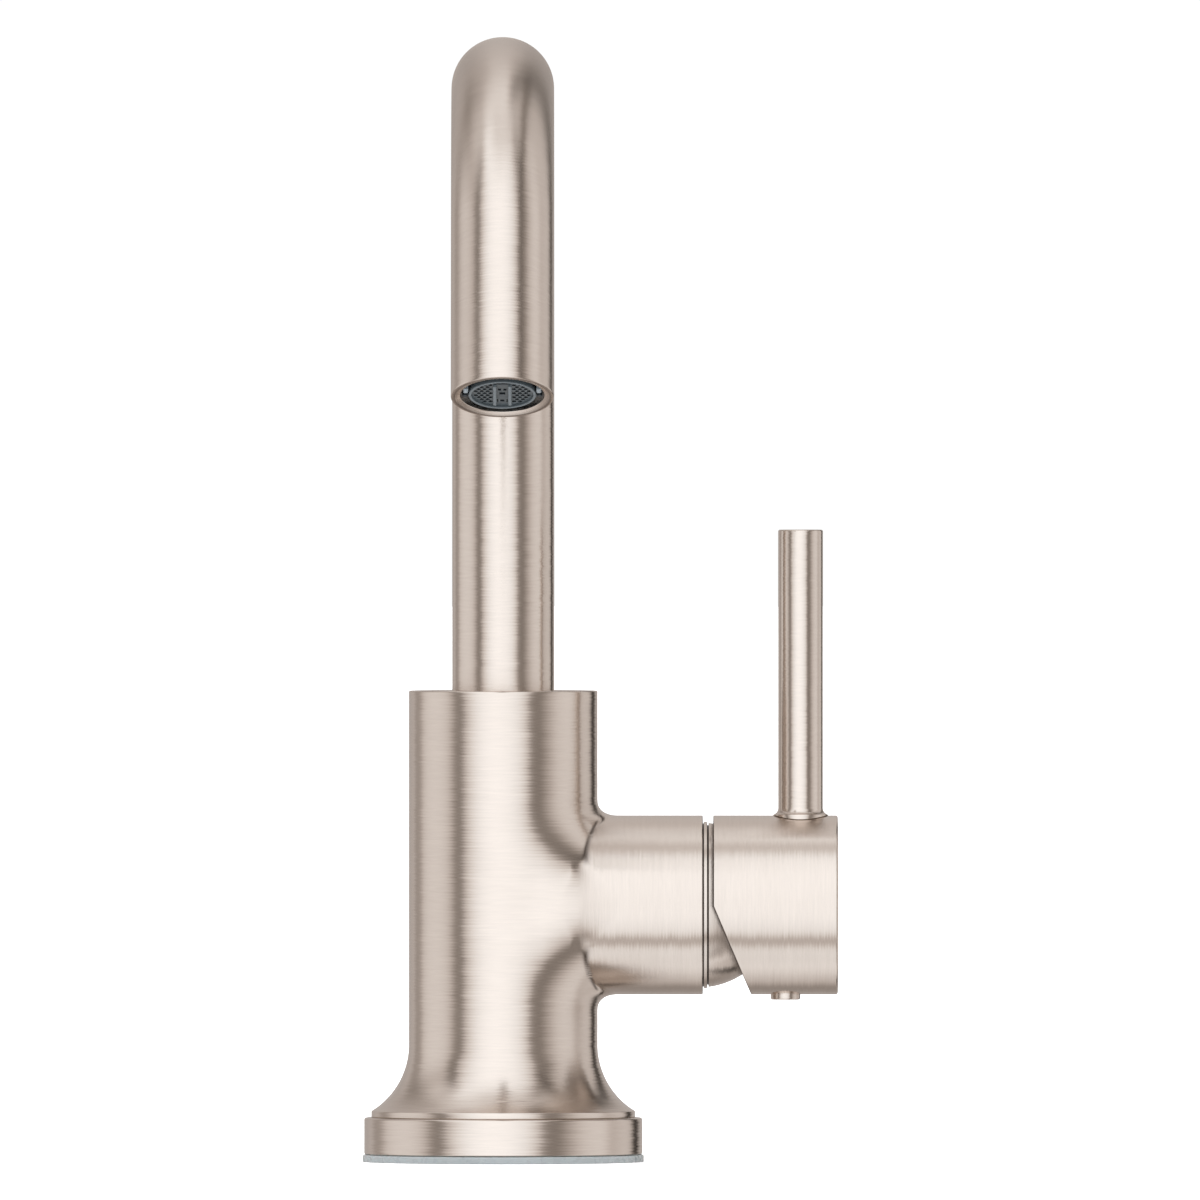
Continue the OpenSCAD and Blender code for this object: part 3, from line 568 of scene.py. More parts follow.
nickel = brushed_nickel("brushed_nickel")
cast_nickel = brushed_nickel("brushed_nickel_body", two_way=True)
steel = plain_metal("stainless_steel", (0.56, 0.55, 0.53), 0.28)
brass = plain_metal("brass", (0.72, 0.50, 0.22), 0.34)
rubber = moulded("black_rubber", (0.018, 0.018, 0.019), 0.55)
white = moulded("white_plastic", (0.78, 0.78, 0.75), 0.4, variation=0.04)
red = moulded("red_plastic", (0.52, 0.035, 0.02), 0.38)
slate = moulded("slate_plastic", (0.035, 0.048, 0.055), 0.36, coat=0.3)
ceramic = moulded("ceramic", (0.82, 0.80, 0.74), 0.16, variation=0.03)
clear = gasket_plastic()


def place(mesh, name, body, nodes, material=nickel):
    obj = mesh.build(name, material)
    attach(obj, body)
    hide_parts(*nodes)


# Valve body. A block of it, seen from the arm, is shaped to carry the elbows; the rest is turned.

ELBOW_X = 28.3  # where the elbows' centres lie
ELBOW_UP = 80.2 - ARM_Z
SEAM_X = 27.0  # where the arm's turned end starts
BLOCK_UP = 28.5
BLOCK_SIDE = radians(118)
SIDE_LINES = 60
TOP_LINES = 156
ACROSS = 108
BACK_LINES = 60
GRUB_MOUTH = GRUB_R + 0.15
GRUB_DEPTH_Y = 14.0
JOINT_SHADE = 0.13


def smooth(a, b, x):
    t = np.clip((x - a) / (b - a), 0, 1)
    return t * t * (3 - 2 * t)


def blend_min(a, b, k):
    """The lesser of two distances, rounded off where they differ by less than k."""
    h = np.clip(k - np.abs(a - b), 0, None)
    return np.minimum(a, b) - h * h / (4 * k)


def junction_parts(p):
    """Distances to the upright body with its elbows and to the arm, and the height off the arm's axis."""
    x, y, z = p[..., 0], p[..., 1], p[..., 2] - ARM_Z
    # the two elbows run into each other smoothly at the axis
    up = np.sqrt(z * z + 9) - 3 * np.exp(-z * z / 60)
    drop = np.clip(ELBOW_UP - up, 0, None)
    body = np.hypot(x, y) - BODY_R
    sweep = ELBOW_X - np.sqrt((ELBOW_X - x) ** 2 + drop**2)
    outside = 50.0
    elbow = np.where(x < ELBOW_X, np.hypot(sweep, y) - BODY_R, outside)
    upright = blend_min(body, elbow, 0.02 + 1.6 * smooth(0, 20, drop))
    arm = np.hypot(y, z) - ARM_R
    return upright, arm, np.abs(z)


def junction(p):
    """Below 0 inside the body and arm. Beside the arm's axis the elbow fades into the arm without a crease."""
    upright, arm, up = junction_parts(p)
    x = p[..., 0]
    root = arm + 5 * (1 - smooth(-2, 12, x))
    rounding = 0.12 + 3.6 * smooth(16.8, 20.4, up) + 1.5 * (1 - smooth(6.0, 12.0, up))
    whole = blend_min(upright, root, rounding)
    mid = 1 - smooth(0, 8, up)
    fade = smooth(0, 1, (x - 15 + 3 * mid) / (6 + 9 * mid)) * (1 - smooth(8.5, 10.5, up))
    return whole * (1 - fade) + arm * fade


def gradient(f, p, h=0.02):
    g = np.zeros_like(p)
    for i, d in enumerate(np.eye(3) * h):
        g[..., i] = (f(p + d) - f(p - d)) / (2 * h)
    return g


def block_edge(phi):
    """Where a ray at an angle round the arm leaves the block: the angle round the body, and the height."""
    w, h = BLOCK_SIDE * BODY_R, BLOCK_UP
    c, s = np.cos(phi), np.sin(phi)
    t = np.minimum(w / np.maximum(np.abs(c), 1e-9), h / np.maximum(np.abs(s), 1e-9))
    return c * t / BODY_R, s * t


def corner_angles():
    """Angles round the arm, with one at each corner of the block."""
    corner = atan2(BLOCK_UP, BLOCK_SIDE * BODY_R)
    a = np.linspace(-corner, corner, SIDE_LINES + 1)
    b = np.linspace(corner, pi - corner, TOP_LINES + 1)
    return np.concatenate([a, b[1:], a[1:] + pi, b[1:] + pi])


def junction_patch(phi):
    """The block's surface, from the arm's seam to the block's edge."""
    y0, z0 = ARM_R * np.cos(phi), ARM_R * np.sin(phi)
    start = np.stack([np.full_like(phi, SEAM_X), y0, ARM_Z + z0], -1)
    root = np.sqrt(np.clip(BODY_R**2 - y0**2, 0, None))
    control = np.stack([root + 1.5 * np.abs(np.sin(phi)), y0 * 1.02, ARM_Z + z0 * 1.02], -1)
    theta, up = block_edge(phi)
    end = np.stack([BODY_R * np.cos(theta), BODY_R * np.sin(theta), ARM_Z + up], -1)
    t = np.linspace(0, 1, ACROSS + 1)[None, :, None]
    p = (1 - t) ** 2 * start[:, None] + 2 * t * (1 - t) * control[:, None] + t**2 * end[:, None]
    # each point goes down the slope of the distance until it lies on the surface
    for _ in range(14):
        g = gradient(junction, p)
        p = p - (junction(p) / np.maximum((g * g).sum(-1), 0.05))[..., None] * g
    p[:, 0] = start
    p[:, -1] = end
    n = unit(gradient(junction, p, 0.04))
    n[:, 0] = np.stack([0 * phi, np.cos(phi), np.sin(phi)], -1)
    n[:, -1] = np.stack([np.cos(theta), np.sin(theta), 0 * theta], -1)

    # the lines run round the body on one side of the crease and round the arm on the other
    upright, arm, off_axis = junction_parts(p)
    width = 0.25 + 1.5 * (1 - smooth(5, 11, off_axis))
    w = smooth(-1, 1, (upright - arm) / width)
    level = smooth(15, 19.5, p[..., 0])
    w = (w + (level - w) * (1 - smooth(6, 10, off_axis)))[..., None]
    w[:, -1] = 0
    w[:, 0] = 1
    b = np.array((0.0, 0.0, 1.0)) * (1 - w) + np.array((1.0, 0.0, 0.0)) * w
    b = unit(b - (b * n).sum(-1, keepdims=True) * n)
    # painted shade: a thin dark line along the concave crease between the elbow and the arm
    crease = np.exp(-(((upright - arm) / 0.28) ** 2)) * smooth(8.5, 11.5, off_axis) * smooth(10, 14, p[..., 0])
    crease = crease * (1 - smooth(18.4, 19.3, off_axis))
    return dict(P=p, N=n, B=b, G=p.copy(), U=p[..., :2] / UV_MM, S=0.85 * crease[..., None])


def upright_patch(theta, prof):
    patch = lathe(UPRIGHT, prof, theta)
    patch["G"] = patch["P"].copy()
    return turned_ends(patch, np.abs(patch["N"][..., 2]) > 0.7)


def back_wall(r, side):
    """What brings points onto the back of an upright cylinder, with normals outwards (1) or inwards (-1)."""

    def surface(p):
        q = p.copy()
        q[..., 1] = np.sqrt(r**2 - q[..., 0] ** 2)
        return q, unit(side * q * (1, 1, 0))

    return surface


def valve_body():
    mesh = Mesh()
    phi = corner_angles()
    patch = junction_patch(phi)
    mouth = (0, BODY_R, GRUB_Z)
    ring, rim = cut_hole(patch, mouth, (0, 1, 0), GRUB_MOUTH, back_wall(BODY_R, 1), margin=1.35)
    mesh.add(patch).add(ring)

    # the body's columns: those of the block, then the back of it
    theta_block, up_block = block_edge(phi)
    columns = np.sort(theta_block[np.abs(up_block - BLOCK_UP) < 1e-6])
    far = np.linspace(BLOCK_SIDE, 2 * pi - BLOCK_SIDE, BACK_LINES + 1)
    around = np.concatenate([columns, far[1:]])
    heights = np.sort(up_block[np.abs(theta_block - BLOCK_SIDE) < 1e-9]) + ARM_Z
    mesh.add(upright_patch(far, outline([(BODY_R, h) for h in heights], step=99)))

    corners = [(BODY_R, ARM_Z + BLOCK_UP), (BODY_R, BODY_TOP, 0.35), (SOCKET_R, BODY_TOP, 0.3)]
    corners += [(SOCKET_R, SOCKET_FLOOR, 0.3), (0, SOCKET_FLOOR)]
    top = upright_patch(around, outline(corners, step=2.0))
    inner_mouth = (0, SOCKET_R, GRUB_Z)
    inner_ring, _ = cut_hole(top, inner_mouth, (0, -1, 0), GRUB_R, back_wall(SOCKET_R, -1), margin=1.3)
    mesh.add(top).add(inner_ring).add(hole_wall(rim, GRUB_DEPTH_Y))

    inside = BODY_R + FLARE_R - FLANGE_R
    flare_top = RING_TOP + FLANGE_EDGE + sqrt(FLARE_R**2 - inside**2)
    sweep = degrees(acos(inside / FLARE_R))
    flare = arc((BODY_R + FLARE_R, flare_top), FLARE_R, 180 + sweep, 180, 40)
    spigot = RING_BORE - 0.05
    below = outline(
        [(0, GASKET_T), (spigot, GASKET_T, 0.2), (spigot, RING_TOP, 0.1), (FLANGE_R, RING_TOP, 0.25)]
        + [(*flare[0][:2], 0.22)]
        + flare[2:]
        + [(BODY_R, ARM_Z - BLOCK_UP)]
    )
    mesh.add(upright_patch(around, below))

    ledge = ARM_END - NUT_DEPTH
    corners = [(ARM_R, SEAM_X), (ARM_R, ARM_END, 0.3), (NUT_R, ARM_END, 0.2), (NUT_R, ledge, 0.2)]
    corners += [(CART_R, ledge, 0.1), (CART_R, SEAT_X, 0.2), (0, SEAT_X)]
    # phi is measured from +Y towards +Z, and the angle in the arm's frame from -Z towards +Y
    arm = lathe(ON_ARM, outline(corners, step=2.0), phi + pi / 2)
    arm["G"] = arm_grain(arm["P"])
    # painted shade on the arm's end, in the gap before the trim ring
    mesh.add(darken(arm, arm["P"][..., 0] > ARM_END - JOINT_SHADE))
    place(mesh, "valve_body_shell", "body", ["valve_body"], cast_nickel)


def base():
    low = [(RING_BORE, GASKET_T, 0.3), (RING_R, GASKET_T, 0.5)]
    high = [(RING_R, RING_TOP, 0.5), (RING_BORE, RING_TOP, 0.3)]
    mesh = Mesh().add(lathe(UPRIGHT, closed_outline(low + high), turn(240)))
    place(mesh, "base_ring_turned", "body", ["base_ring"])

    low = [(TAP_HOLE_R, 0, 0.2), (GASKET_R, 0, 0.25)]
    high = [(GASKET_R, GASKET_T, 0.3), (TAP_HOLE_R, GASKET_T, 0.2)]
    mesh = Mesh().add(lathe(UPRIGHT, closed_outline(low + high), turn(200)))
    place(mesh, "base_gasket_moulded", "body", ["base_gasket"], clear)


# Trim, hub and rod


def trim():
    start = ARM_END + 1
    front, back, root = ARM_END + 0.14, ARM_END + 0.94, TRIM_R - 0.4
    near = [(TRIM_BORE, ARM_END, 0.1), (root, ARM_END, 0.02), (root, front, 0.02), (TRIM_R, front, 0.1)]
    far = [(TRIM_R, back, 0.1), (root, back, 0.02), (root, start, 0.02), (TRIM_BORE, start, 0.1)]
    ring = lathe(ON_ARM, closed_outline(near + far, 1.0), turn(200))
    # painted shade on the ring's two ends, in the gaps against the arm and the dome
    darken(ring, np.abs(ring["P"][..., 0] - (front + back) / 2) > 0.33)
    place(Mesh().add(ring), "trim_ring_turned", "body", ["trim_ring"])

    groove, groove_r = start + 0.23, DOME_R - 0.7
    mouth = DOME_R * 0.73
    mouth_x = PIVOT_X + sqrt(DOME_R**2 - mouth**2)
    lip = mouth - 0.75
    a0 = degrees(asin((groove - PIVOT_X) / DOME_R))
    a1 = degrees(asin((mouth_x - PIVOT_X) / DOME_R))
    outer = arc((0, PIVOT_X), DOME_R, a0, a1, 36)
    shell = DOME_R - 1.5
    inner = arc((0, PIVOT_X), shell, degrees(acos(lip / shell)), 12, 24)
    corners = (
        [(TRIM_BORE, start, 0.05), (groove_r, start, 0.05), (groove_r, groove, 0.05)]
        + [(*outer[0][:2], 0.1)]
        + outer[2:-1]
        + [(mouth, mouth_x, 0.3), (lip, mouth_x, 0.2)]
        + [(*inner[0][:2], 0.1)]
        + inner[2:]
        + [(TRIM_BORE, start + 3.7, 0.1)]
    )
    dome = lathe(ON_ARM, closed_outline(corners, 1.0), turn(200))
    # painted shade in the dome's groove and on its face behind the ring
    darken(dome, dome["P"][..., 0] < groove + 0.1)
    place(Mesh().add(dome), "trim_dome_spun", "body", ["trim_dome"])


def hub_profile(angle):
    """The hub's outline in the half-plane at an angle of the arm's frame, where the sloping cut moves the rim.

    It has the same number of lines at every angle.
    """
    down = max(0.0, cos(angle)) * CUT
    gap = HUB_START - PIVOT_X
    a = 1 + down * down
    r_in = (-2 * gap * down + sqrt(4 * gap**2 * down**2 - 4 * a * (gap**2 - CAVITY_R**2))) / (2 * a)
    x_in = HUB_START + r_in * down
    floor_r = sqrt(CAVITY_R**2 - (HUB_FLOOR - PIVOT_X) ** 2)
    a0 = degrees(asin((HUB_FLOOR - PIVOT_X) / CAVITY_R))
    a1 = degrees(asin((x_in - PIVOT_X) / CAVITY_R))
    rim = HUB_START + ARM_R * down
    pts = [(0, HUB_FLOOR), (floor_r, HUB_FLOOR, 0.05)] + arc((0, PIVOT_X), CAVITY_R, a0, a1, 17)[1:-1]
    pts += [(r_in, x_in, 0.15), (ARM_R, rim, 0.3)]
    near, far = rim + 0.5, HUB_END - 1.05
    pts += [(ARM_R, near + (far - near) * i / 30) for i in range(31)]
    pts += [(ARM_R, HUB_END, 1.0)] + [(r, HUB_END) for r in (16, 12, 8, 4, 0)]
    return outline(pts, step=1000)


def under_drum(p):
    """Brings points onto the underside of the hub."""
    q = p.copy()
    q[..., 2] = ARM_Z - np.sqrt(ARM_R**2 - q[..., 1] ** 2)
    return q, unit(np.stack([0 * q[..., 0], q[..., 1], q[..., 2] - ARM_Z], -1))


def handle_hub():
    hub = lathe(ON_ARM, hub_profile, turn(288, -pi, pi))
    hub["G"] = arm_grain(hub["P"])
    turned_ends(hub, np.abs(hub["N"][..., 0]) > 0.7)
    # painted shade along the hub's cut rim, where it meets the dome
    rim_x = HUB_START + CUT * np.maximum(0, ARM_Z - hub["P"][..., 2])
    darken(hub, hub["P"][..., 0] < rim_x + 0.14)
    bottom = ARM_Z - ARM_R
    ring, rim = cut_hole(hub, (SCREW_X, 0, bottom), (0, 0, -1), CAP_R + 0.12, under_drum, margin=1.2)
    mesh = Mesh().add(hub).add(ring).add(hole_wall(rim, bottom + 1.4, bevel=0.08))
    place(mesh, "handle_hub_turned", "lever", ["handle_hub"])


def rod_profile(angle):
    """The rod's outline, whose foot stands on the round hub."""
    across = abs(sin(angle))
    seat = ARM_R + 0.05
    foot, foot_top = ROD_R + FOOT_SPREAD, ARM_Z + ARM_R + FOOT_H
    bend = degrees(acos((FOOT_R - FOOT_SPREAD) / FOOT_R))
    sole = [(r, ARM_Z + sqrt(seat**2 - (r * across) ** 2)) for r in (0, 1.5, 3, 4.2, 5.3, foot)]
    pts = sole[:-1] + [(*sole[-1], 0.12)]
    pts += arc((ROD_R + FOOT_R, foot_top), FOOT_R, 180 + bend, 180, 10)
    pts += [(ROD_R, foot_top + i * 6.1) for i in range(1, 11)]
    pts += [(ROD_R, ROD_TOP, 0.4), (ROD_R / 2, ROD_TOP), (0, ROD_TOP)]
    return outline(pts, step=1000)


def lever_rod():
    mesh = Mesh().add(lathe(ON_ROD, rod_profile, turn(160)))
    place(mesh, "lever_rod_turned", "lever", ["lever_rod"])


def screw_cap():
    head, shank_r, shank_top = 0.33, 2.4, 4.6
    corners = [(0, -CAP_H), (CAP_R, -CAP_H, 0.4), (CAP_R, head, 0.05), (shank_r, head, 0.05)]
    corners += [(shank_r, shank_top, 0.1), (0, shank_top)]
    mesh = Mesh().add(lathe(ON_SCREW, outline(corners, step=0.8), turn(96)))
    place(mesh, "screw_cap_turned", "lever", ["screw_cap"])


# Spout and aerator

LEG_LINES = 23


def tube_wall(r, angles, outward):
    """The tube's wall along the whole path, from the foot of the riser to the outlet."""
    rows = [((0, 0, z), (0, 0, 1), (0, 1, 0)) for z in np.linspace(TUBE_FOOT, BEND_Z, 46)[:-1]]
    for a in np.linspace(0, BEND_ANGLE, 181):
        radial = np.array((0, cos(a), sin(a)))
        rows.append((BEND_C + BEND_R * radial, (0, -sin(a), cos(a)), radial))
    for d in np.linspace(0, LEG, LEG_LINES + 1)[1:]:
        rows.append((BEND_C + BEND_R * BEND_END + d * LEG_DIR, LEG_DIR, BEND_END))
    centre, along, out = (np.array([row[i] for row in rows], float) for i in range(3))
    c, s = np.cos(angles)[:, None, None], np.sin(angles)[:, None, None]
    normal = c * np.array((1.0, 0, 0)) + s * out
    p = centre + r * normal
    grain, uv = grain_and_uv(r, angles, centre)
    return dict(P=p, N=normal * outward, B=np.broadcast_to(along, p.shape), G=grain, U=uv)


def spout_tube():
    mesh = Mesh()
    angles = turn(192)
    for r, outward in ((TUBE_R, 1.0), (TUBE_BORE, -1.0)):
        # the last row of the wall gives way to the turned tip
        mesh.add({k: v[:, :-1] for k, v in tube_wall(r, angles, outward).items()})
    back, bevel_r = LEG / LEG_LINES, TUBE_BORE + TIP_BEVEL
    corners = [(TUBE_BORE, back), (TUBE_BORE, BEVEL_SLOPE * TIP_BEVEL, 0.03), (bevel_r, 0, 0.1)]
    tip = lathe(AT_OUTLET, outline(corners + [(TUBE_R, 0, 0.25), (TUBE_R, back)], step=1.0), -angles)
    off = tip["P"] - OUTLET
    deep = off @ -LEG_DIR
    # the end face gets a little painted shade, with a thin darker line of painted shade where the bevel starts
    r = np.linalg.norm(off + deep[..., None] * LEG_DIR, axis=-1)
    shade = np.where(deep < 0.02, 0.3, 0.0)
    tip["S"] = np.where(np.abs(r - TUBE_BORE - TIP_BEVEL) < 0.06, 0.7, shade)[..., None]
    foot = outline([(TUBE_BORE, TUBE_FOOT), (TUBE_R, TUBE_FOOT)], step=9)
    mesh.add(tip).add(lathe(UPRIGHT, foot, angles))
    place(mesh, "spout_tube_bent", "spout", ["spout_tube"])


def outlet_bushing():
    start = BEVEL_SLOPE * TIP_BEVEL + 0.02
    edge = start + BEVEL_SLOPE * (TUBE_BORE - OUTLET_R)
    outer, bore = TUBE_BORE - 0.02, OUTLET_R - 1.0
    shoulder, back = 11.4, 13
    corners = [(outer, back, 0.1), (bore, back, 0.1), (bore, shoulder, 0.1), (OUTLET_R, shoulder, 0.1)]
    corners += [(OUTLET_R, edge, 0.15), (outer, start, 0.03)]
    mesh = Mesh().add(lathe(AT_OUTLET, closed_outline(corners, 1.0), turn(160)))
    place(mesh, "outlet_bushing_turned", "spout", ["outlet_bushing"])


# The aerator's screen, in the outlet's frame, where z is the depth. Its plate lies from one depth to another.
# tones of the insert's shade attribute; WELL, near black on the walls of the holes, is painted shade, and the
# posts take it as their black
PALE, MIDDLE, LOBES, COLUMN, WELL = 0.0, 0.26, 0.48, 0.55, 0.95
RING_FRONT, RING_BACK = 0.4, 4.9
SEAT_FRONT = RING_BACK - 0.9
LUG_BACK = RING_BACK - 1.0
PLATE = (1.0, 1.9)


def facet(mesh, corners, shade):
    """A flat quad in the outlet's frame, of four corners in order, with its front to the right-hand side."""
    local = np.array(corners, float)
    normal = unit(np.cross(local[2] - local[0], local[3] - local[1]))
    local = local[[[0, 3], [1, 2]]]
    p = to_world(AT_OUTLET, local)
    n = np.broadcast_to(normal @ AT_OUTLET[:3, :3].T, p.shape)
    b = np.broadcast_to(AT_OUTLET[:3, 0], p.shape)
    s = np.full((2, 2, 1), float(shade))
    mesh.add(dict(P=p, N=n, B=b, G=local, U=local[..., :2] / UV_MM, S=s))


def plate_faces(mesh, a, b, c, d, shade):
    """The front and back of the plate over four points in order."""
    facet(mesh, [(*v, PLATE[0]) for v in (d, c, b, a)], shade)
    facet(mesh, [(*v, PLATE[1]) for v in (a, b, c, d)], shade)


def plate_side(mesh, a, b, shade):
    facet(mesh, [(*a, PLATE[0]), (*b, PLATE[0]), (*b, PLATE[1]), (*a, PLATE[1])], shade)


def block(mesh, xs, y0, y1, z_front, z_back, bevel, shade):
    """An upright block with a bevelled front."""
    x0, x1 = sorted(xs)
    ring = np.array([(x0, y0), (x1, y0), (x1, y1), (x0, y1)])
    centre = ring.mean(0)
    inner = centre + (ring - centre) * (1 - bevel / np.abs(ring - centre).max(0))
    levels = [(inner, z_front), (ring, z_front + bevel), (ring, z_back)]
    for (a, za), (b, zb) in zip(levels, levels[1:]):
        for i, j in ((0, 1), (1, 2), (2, 3), (3, 0)):
            facet(mesh, [(*b[j], zb), (*b[i], zb), (*a[i], za), (*a[j], za)], shade)
    facet(mesh, [(*v, z_front) for v in inner[::-1]], shade)
    facet(mesh, [(*v, z_back) for v in ring], shade)


def honeycomb(mesh, pitch, hole, half_column, reach, edge_r):
    """The holed lobes on either side of the middle column, as six-sided cells."""
    row = pitch * sqrt(3) / 2
    turns = np.radians(30 + 60 * np.arange(6))
    corner = np.stack([np.cos(turns), np.sin(turns)], -1) * pitch / sqrt(3)
    cells = {}
    count = int(edge_r / row) + 1
    for i in range(-count, count + 1):
        for j in range(-count, count + 1):
            x, y = (j + (0.5 if i % 2 else 0)) * pitch, i * row
            if hypot(x, y) < edge_r + 0.5 * pitch and abs(x) > half_column - 0.5 * pitch:
                cells[i, round(2 * x / pitch)] = (x, y)
    steps = [(1, 1), (1, -1), (0, -2), (-1, -1), (-1, 1), (0, 2)]
    for (i, j), (x, y) in cells.items():
        centre = np.array((x, y))
        outer = centre + corner
        side = 1.0 if x > 0 else -1.0
        outer[:, 0] = side * np.maximum(side * outer[:, 0], half_column)
        outer *= np.minimum(1, edge_r / np.hypot(outer[:, 0], outer[:, 1]))[:, None]
        is_open = hypot(x, y) < reach and abs(x) > half_column + 0.3 * pitch
        inner = centre + corner * (hole * sqrt(3)) if is_open else np.tile(outer.mean(0), (6, 1))
        for k, (di, dj) in enumerate(steps):
            m = (k + 1) % 6
            plate_faces(mesh, outer[k], outer[m], inner[m], inner[k], LOBES)
            # the open cells' walls get WELL, painted shade in the holes
            if is_open:
                plate_side(mesh, inner[m], inner[k], WELL)
            if (i + di, j + dj) not in cells:
                plate_side(mesh, outer[k], outer[m], LOBES)


def column_plate(mesh, xs, ys, holes):
    """The middle column, a plate on a grid of lines, with oblong holes."""
    nx, ny = len(xs) - 1, len(ys) - 1

    def is_open(i, j):
        x, y = (xs[i] + xs[i + 1]) / 2, (ys[j] + ys[j + 1]) / 2
        return any(a < x < b and c < y < d for a, b, c, d in holes)

    for i in range(nx):
        for j in range(ny):
            if is_open(i, j):
                continue
            a, b, c, d = (xs[i], ys[j]), (xs[i + 1], ys[j]), (xs[i + 1], ys[j + 1]), (xs[i], ys[j + 1])
            plate_faces(mesh, a, b, c, d, COLUMN)
            for p, q, u, v in ((a, b, i, j - 1), (b, c, i + 1, j), (c, d, i, j + 1), (d, a, i - 1, j)):
                inside = 0 <= u < nx and 0 <= v < ny
                # the oblong holes' walls get WELL, painted shade in the holes
                if not inside or is_open(u, v):
                    plate_side(mesh, p, q, WELL if inside else COLUMN)


def aerator_insert():
    """The screen: a ring, two holed lobes, the middle column between its ribs, and two lugs and posts."""
    mesh = Mesh()
    outer, inner, seat_r = 7.45, 6.85, 8.25
    corners = [(inner, RING_FRONT, 0.15), (outer, RING_FRONT, 0.15), (outer, SEAT_FRONT, 0.05)]
    corners += [(seat_r, SEAT_FRONT, 0.1), (seat_r, RING_BACK, 0.05), (inner, RING_BACK, 0.05)]
    ring = lathe(AT_OUTLET, closed_outline(corners, 0.8), turn(120))
    deep = (ring["P"] - OUTLET) @ -LEG_DIR
    # painted shade: the ring grows darker deeper inside the outlet
    ring["S"] = (0.3 + 0.5 * smooth(RING_FRONT, RING_FRONT + 1.6, deep))[..., None]
    mesh.add(ring)

    half = 2.05
    honeycomb(mesh, pitch=1.3, hole=0.4, half_column=half, reach=6.5, edge_r=7.05)
    right = [0.25, 0.45, 0.65, 0.93, 1.18, half]
    ys = [-6.9, -6.1, -4.9, -2.55, -1.45, -0.5, 0.7, 3.35, 3.6, 4.6, 4.85, 6.9]
    holes = [(-half, half, -6.1, -4.9), (-0.65, 0.65, -0.5, 0.7), (-0.45, 0.45, 3.6, 4.6)]
    holes += [(-0.93, -0.25, -2.55, -1.45), (0.25, 0.93, -2.55, -1.45)]
    holes += [(-1.18, -0.93, 3.35, 4.85), (0.93, 1.18, 3.35, 4.85)]
    column_plate(mesh, [-x for x in right[::-1]] + right, ys, holes)

    post_r = 0.62
    post = [(0, RING_FRONT), (post_r, RING_FRONT, 0.2), (post_r, LUG_BACK, 0.05), (0, LUG_BACK)]
    for side in (-1, 1):
        block(mesh, (side * 1.3, side * half), -4.4, 5.9, RING_FRONT + 0.1, PLATE[1] - 0.1, 0.12, MIDDLE)
        block(mesh, (side * 7.55, side * 8.6), -3.1, -1.2, RING_FRONT, LUG_BACK, 0.25, PALE)
        at_post = AT_OUTLET.copy()
        at_post[:3, 3] = to_world(AT_OUTLET, np.array((side * 8.25, 0.5, 0.0)))
        patch = lathe(at_post, outline(post, 0.6), turn(28))
        mesh.add(dict(patch, S=np.full(patch["P"].shape[:2] + (1,), WELL)))
    place(mesh, "aerator_insert_moulded", "spout", ["aerator_screen"], slate_insert())


valve_body()
base()
trim()
handle_hub()
lever_rod()
screw_cap()
spout_tube()
outlet_bushing()
aerator_insert()

# The CAD nodes that stay
KEPT = [
    (steel, ["spout_retaining_screw", "stem_pin", "cartridge_stem", "lever_stud", "clamping_screw"]),
    (brass, ["bonnet_nut", "spout_adapter"]),
    (rubber, ["cartridge_seals", "spout_o_rings", "aerator_seal", "turret_o_ring"]),
    (white, ["spout_thrust_washer", "cartridge_base", "cartridge_housing", "spout_slide_rings"]),
    (white, ["aerator_regulator", "cartridge_turret", "disc_slider"]),
    (red, ["temperature_stop_ring"]),
    (slate, ["aerator_housing"]),
    (ceramic, ["fixed_ceramic_disc", "moving_ceramic_disc"]),
]
for material, names in KEPT:
    for name in names:
        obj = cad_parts[name]
        if not obj.material_slots:
            obj.data.materials.append(material)
        for slot in obj.material_slots:
            slot.material = material

# Floor, light and camera

FLOOR_HALF = 14.0  # metres
PICTURE_WIDTH = 267.84
PICTURE_CENTRE = (21.6, 0, 125.4)
LENS, SENSOR = 1600.0, 36.0
ELEVATION = radians(0.5)


def floor():
    h = FLOOR_HALF
    mesh = bpy.data.meshes.new("floor")
    mesh.from_pydata([(-h, -h, 0), (h, -h, 0), (h, h, 0), (-h, h, 0)], [], [(0, 1, 2, 3)])
    obj = add_object("floor", mesh)
    mat, t = new_material("floor_paper")
    t.surface({
        "Base Color": (0.86, 0.86, 0.86, 1),
        "Roughness": 0.9,
        "Specular IOR Level": 0.0,
        "Emission Color": (1, 1, 1, 1),
        "Emission Strength": 0.3,
    })
    mesh.materials.append(mat)
    obj.visible_glossy = False


# Brightness of the studio round the object, as (direction in degrees, light). 0 is the camera's side.
AZIMUTH = [
    (-180, 0.44), (-160, 0.46), (-143, 0.58), (-132, 0.42), (-121, 0.55), (-112, 0.88), (-90, 1.0),
    (-76, 0.95), (-66, 0.75), (-58, 0.36), (-52, 0.26), (-47, 0.6), (-40, 1.0), (-32, 1.3), (-20, 1.55),
    (-8, 1.62), (2, 1.58), (14, 1.42), (24, 1.12), (30, 0.76), (35, 0.3), (41, 0.28), (50, 0.45), (60, 0.72),
    (72, 0.92), (86, 0.97), (96, 0.86), (104, 0.7), (112, 0.76), (122, 0.8), (132, 0.66), (139, 0.12),
    (144, 0.02), (150, 0.16), (160, 0.5), (180, 0.44),
]
FRONT_UP = [
    (-90, 0.8), (-70, 0.84), (-60, 0.82), (-52, 0.56), (-46, 0.42), (-40, 0.64), (-33, 0.86), (-24, 0.94),
    (-14, 0.99), (0, 1.0), (52, 1.0), (60, 1.0), (66, 0.9), (72, 0.74), (79, 0.57), (86, 0.68), (90, 0.74),
]
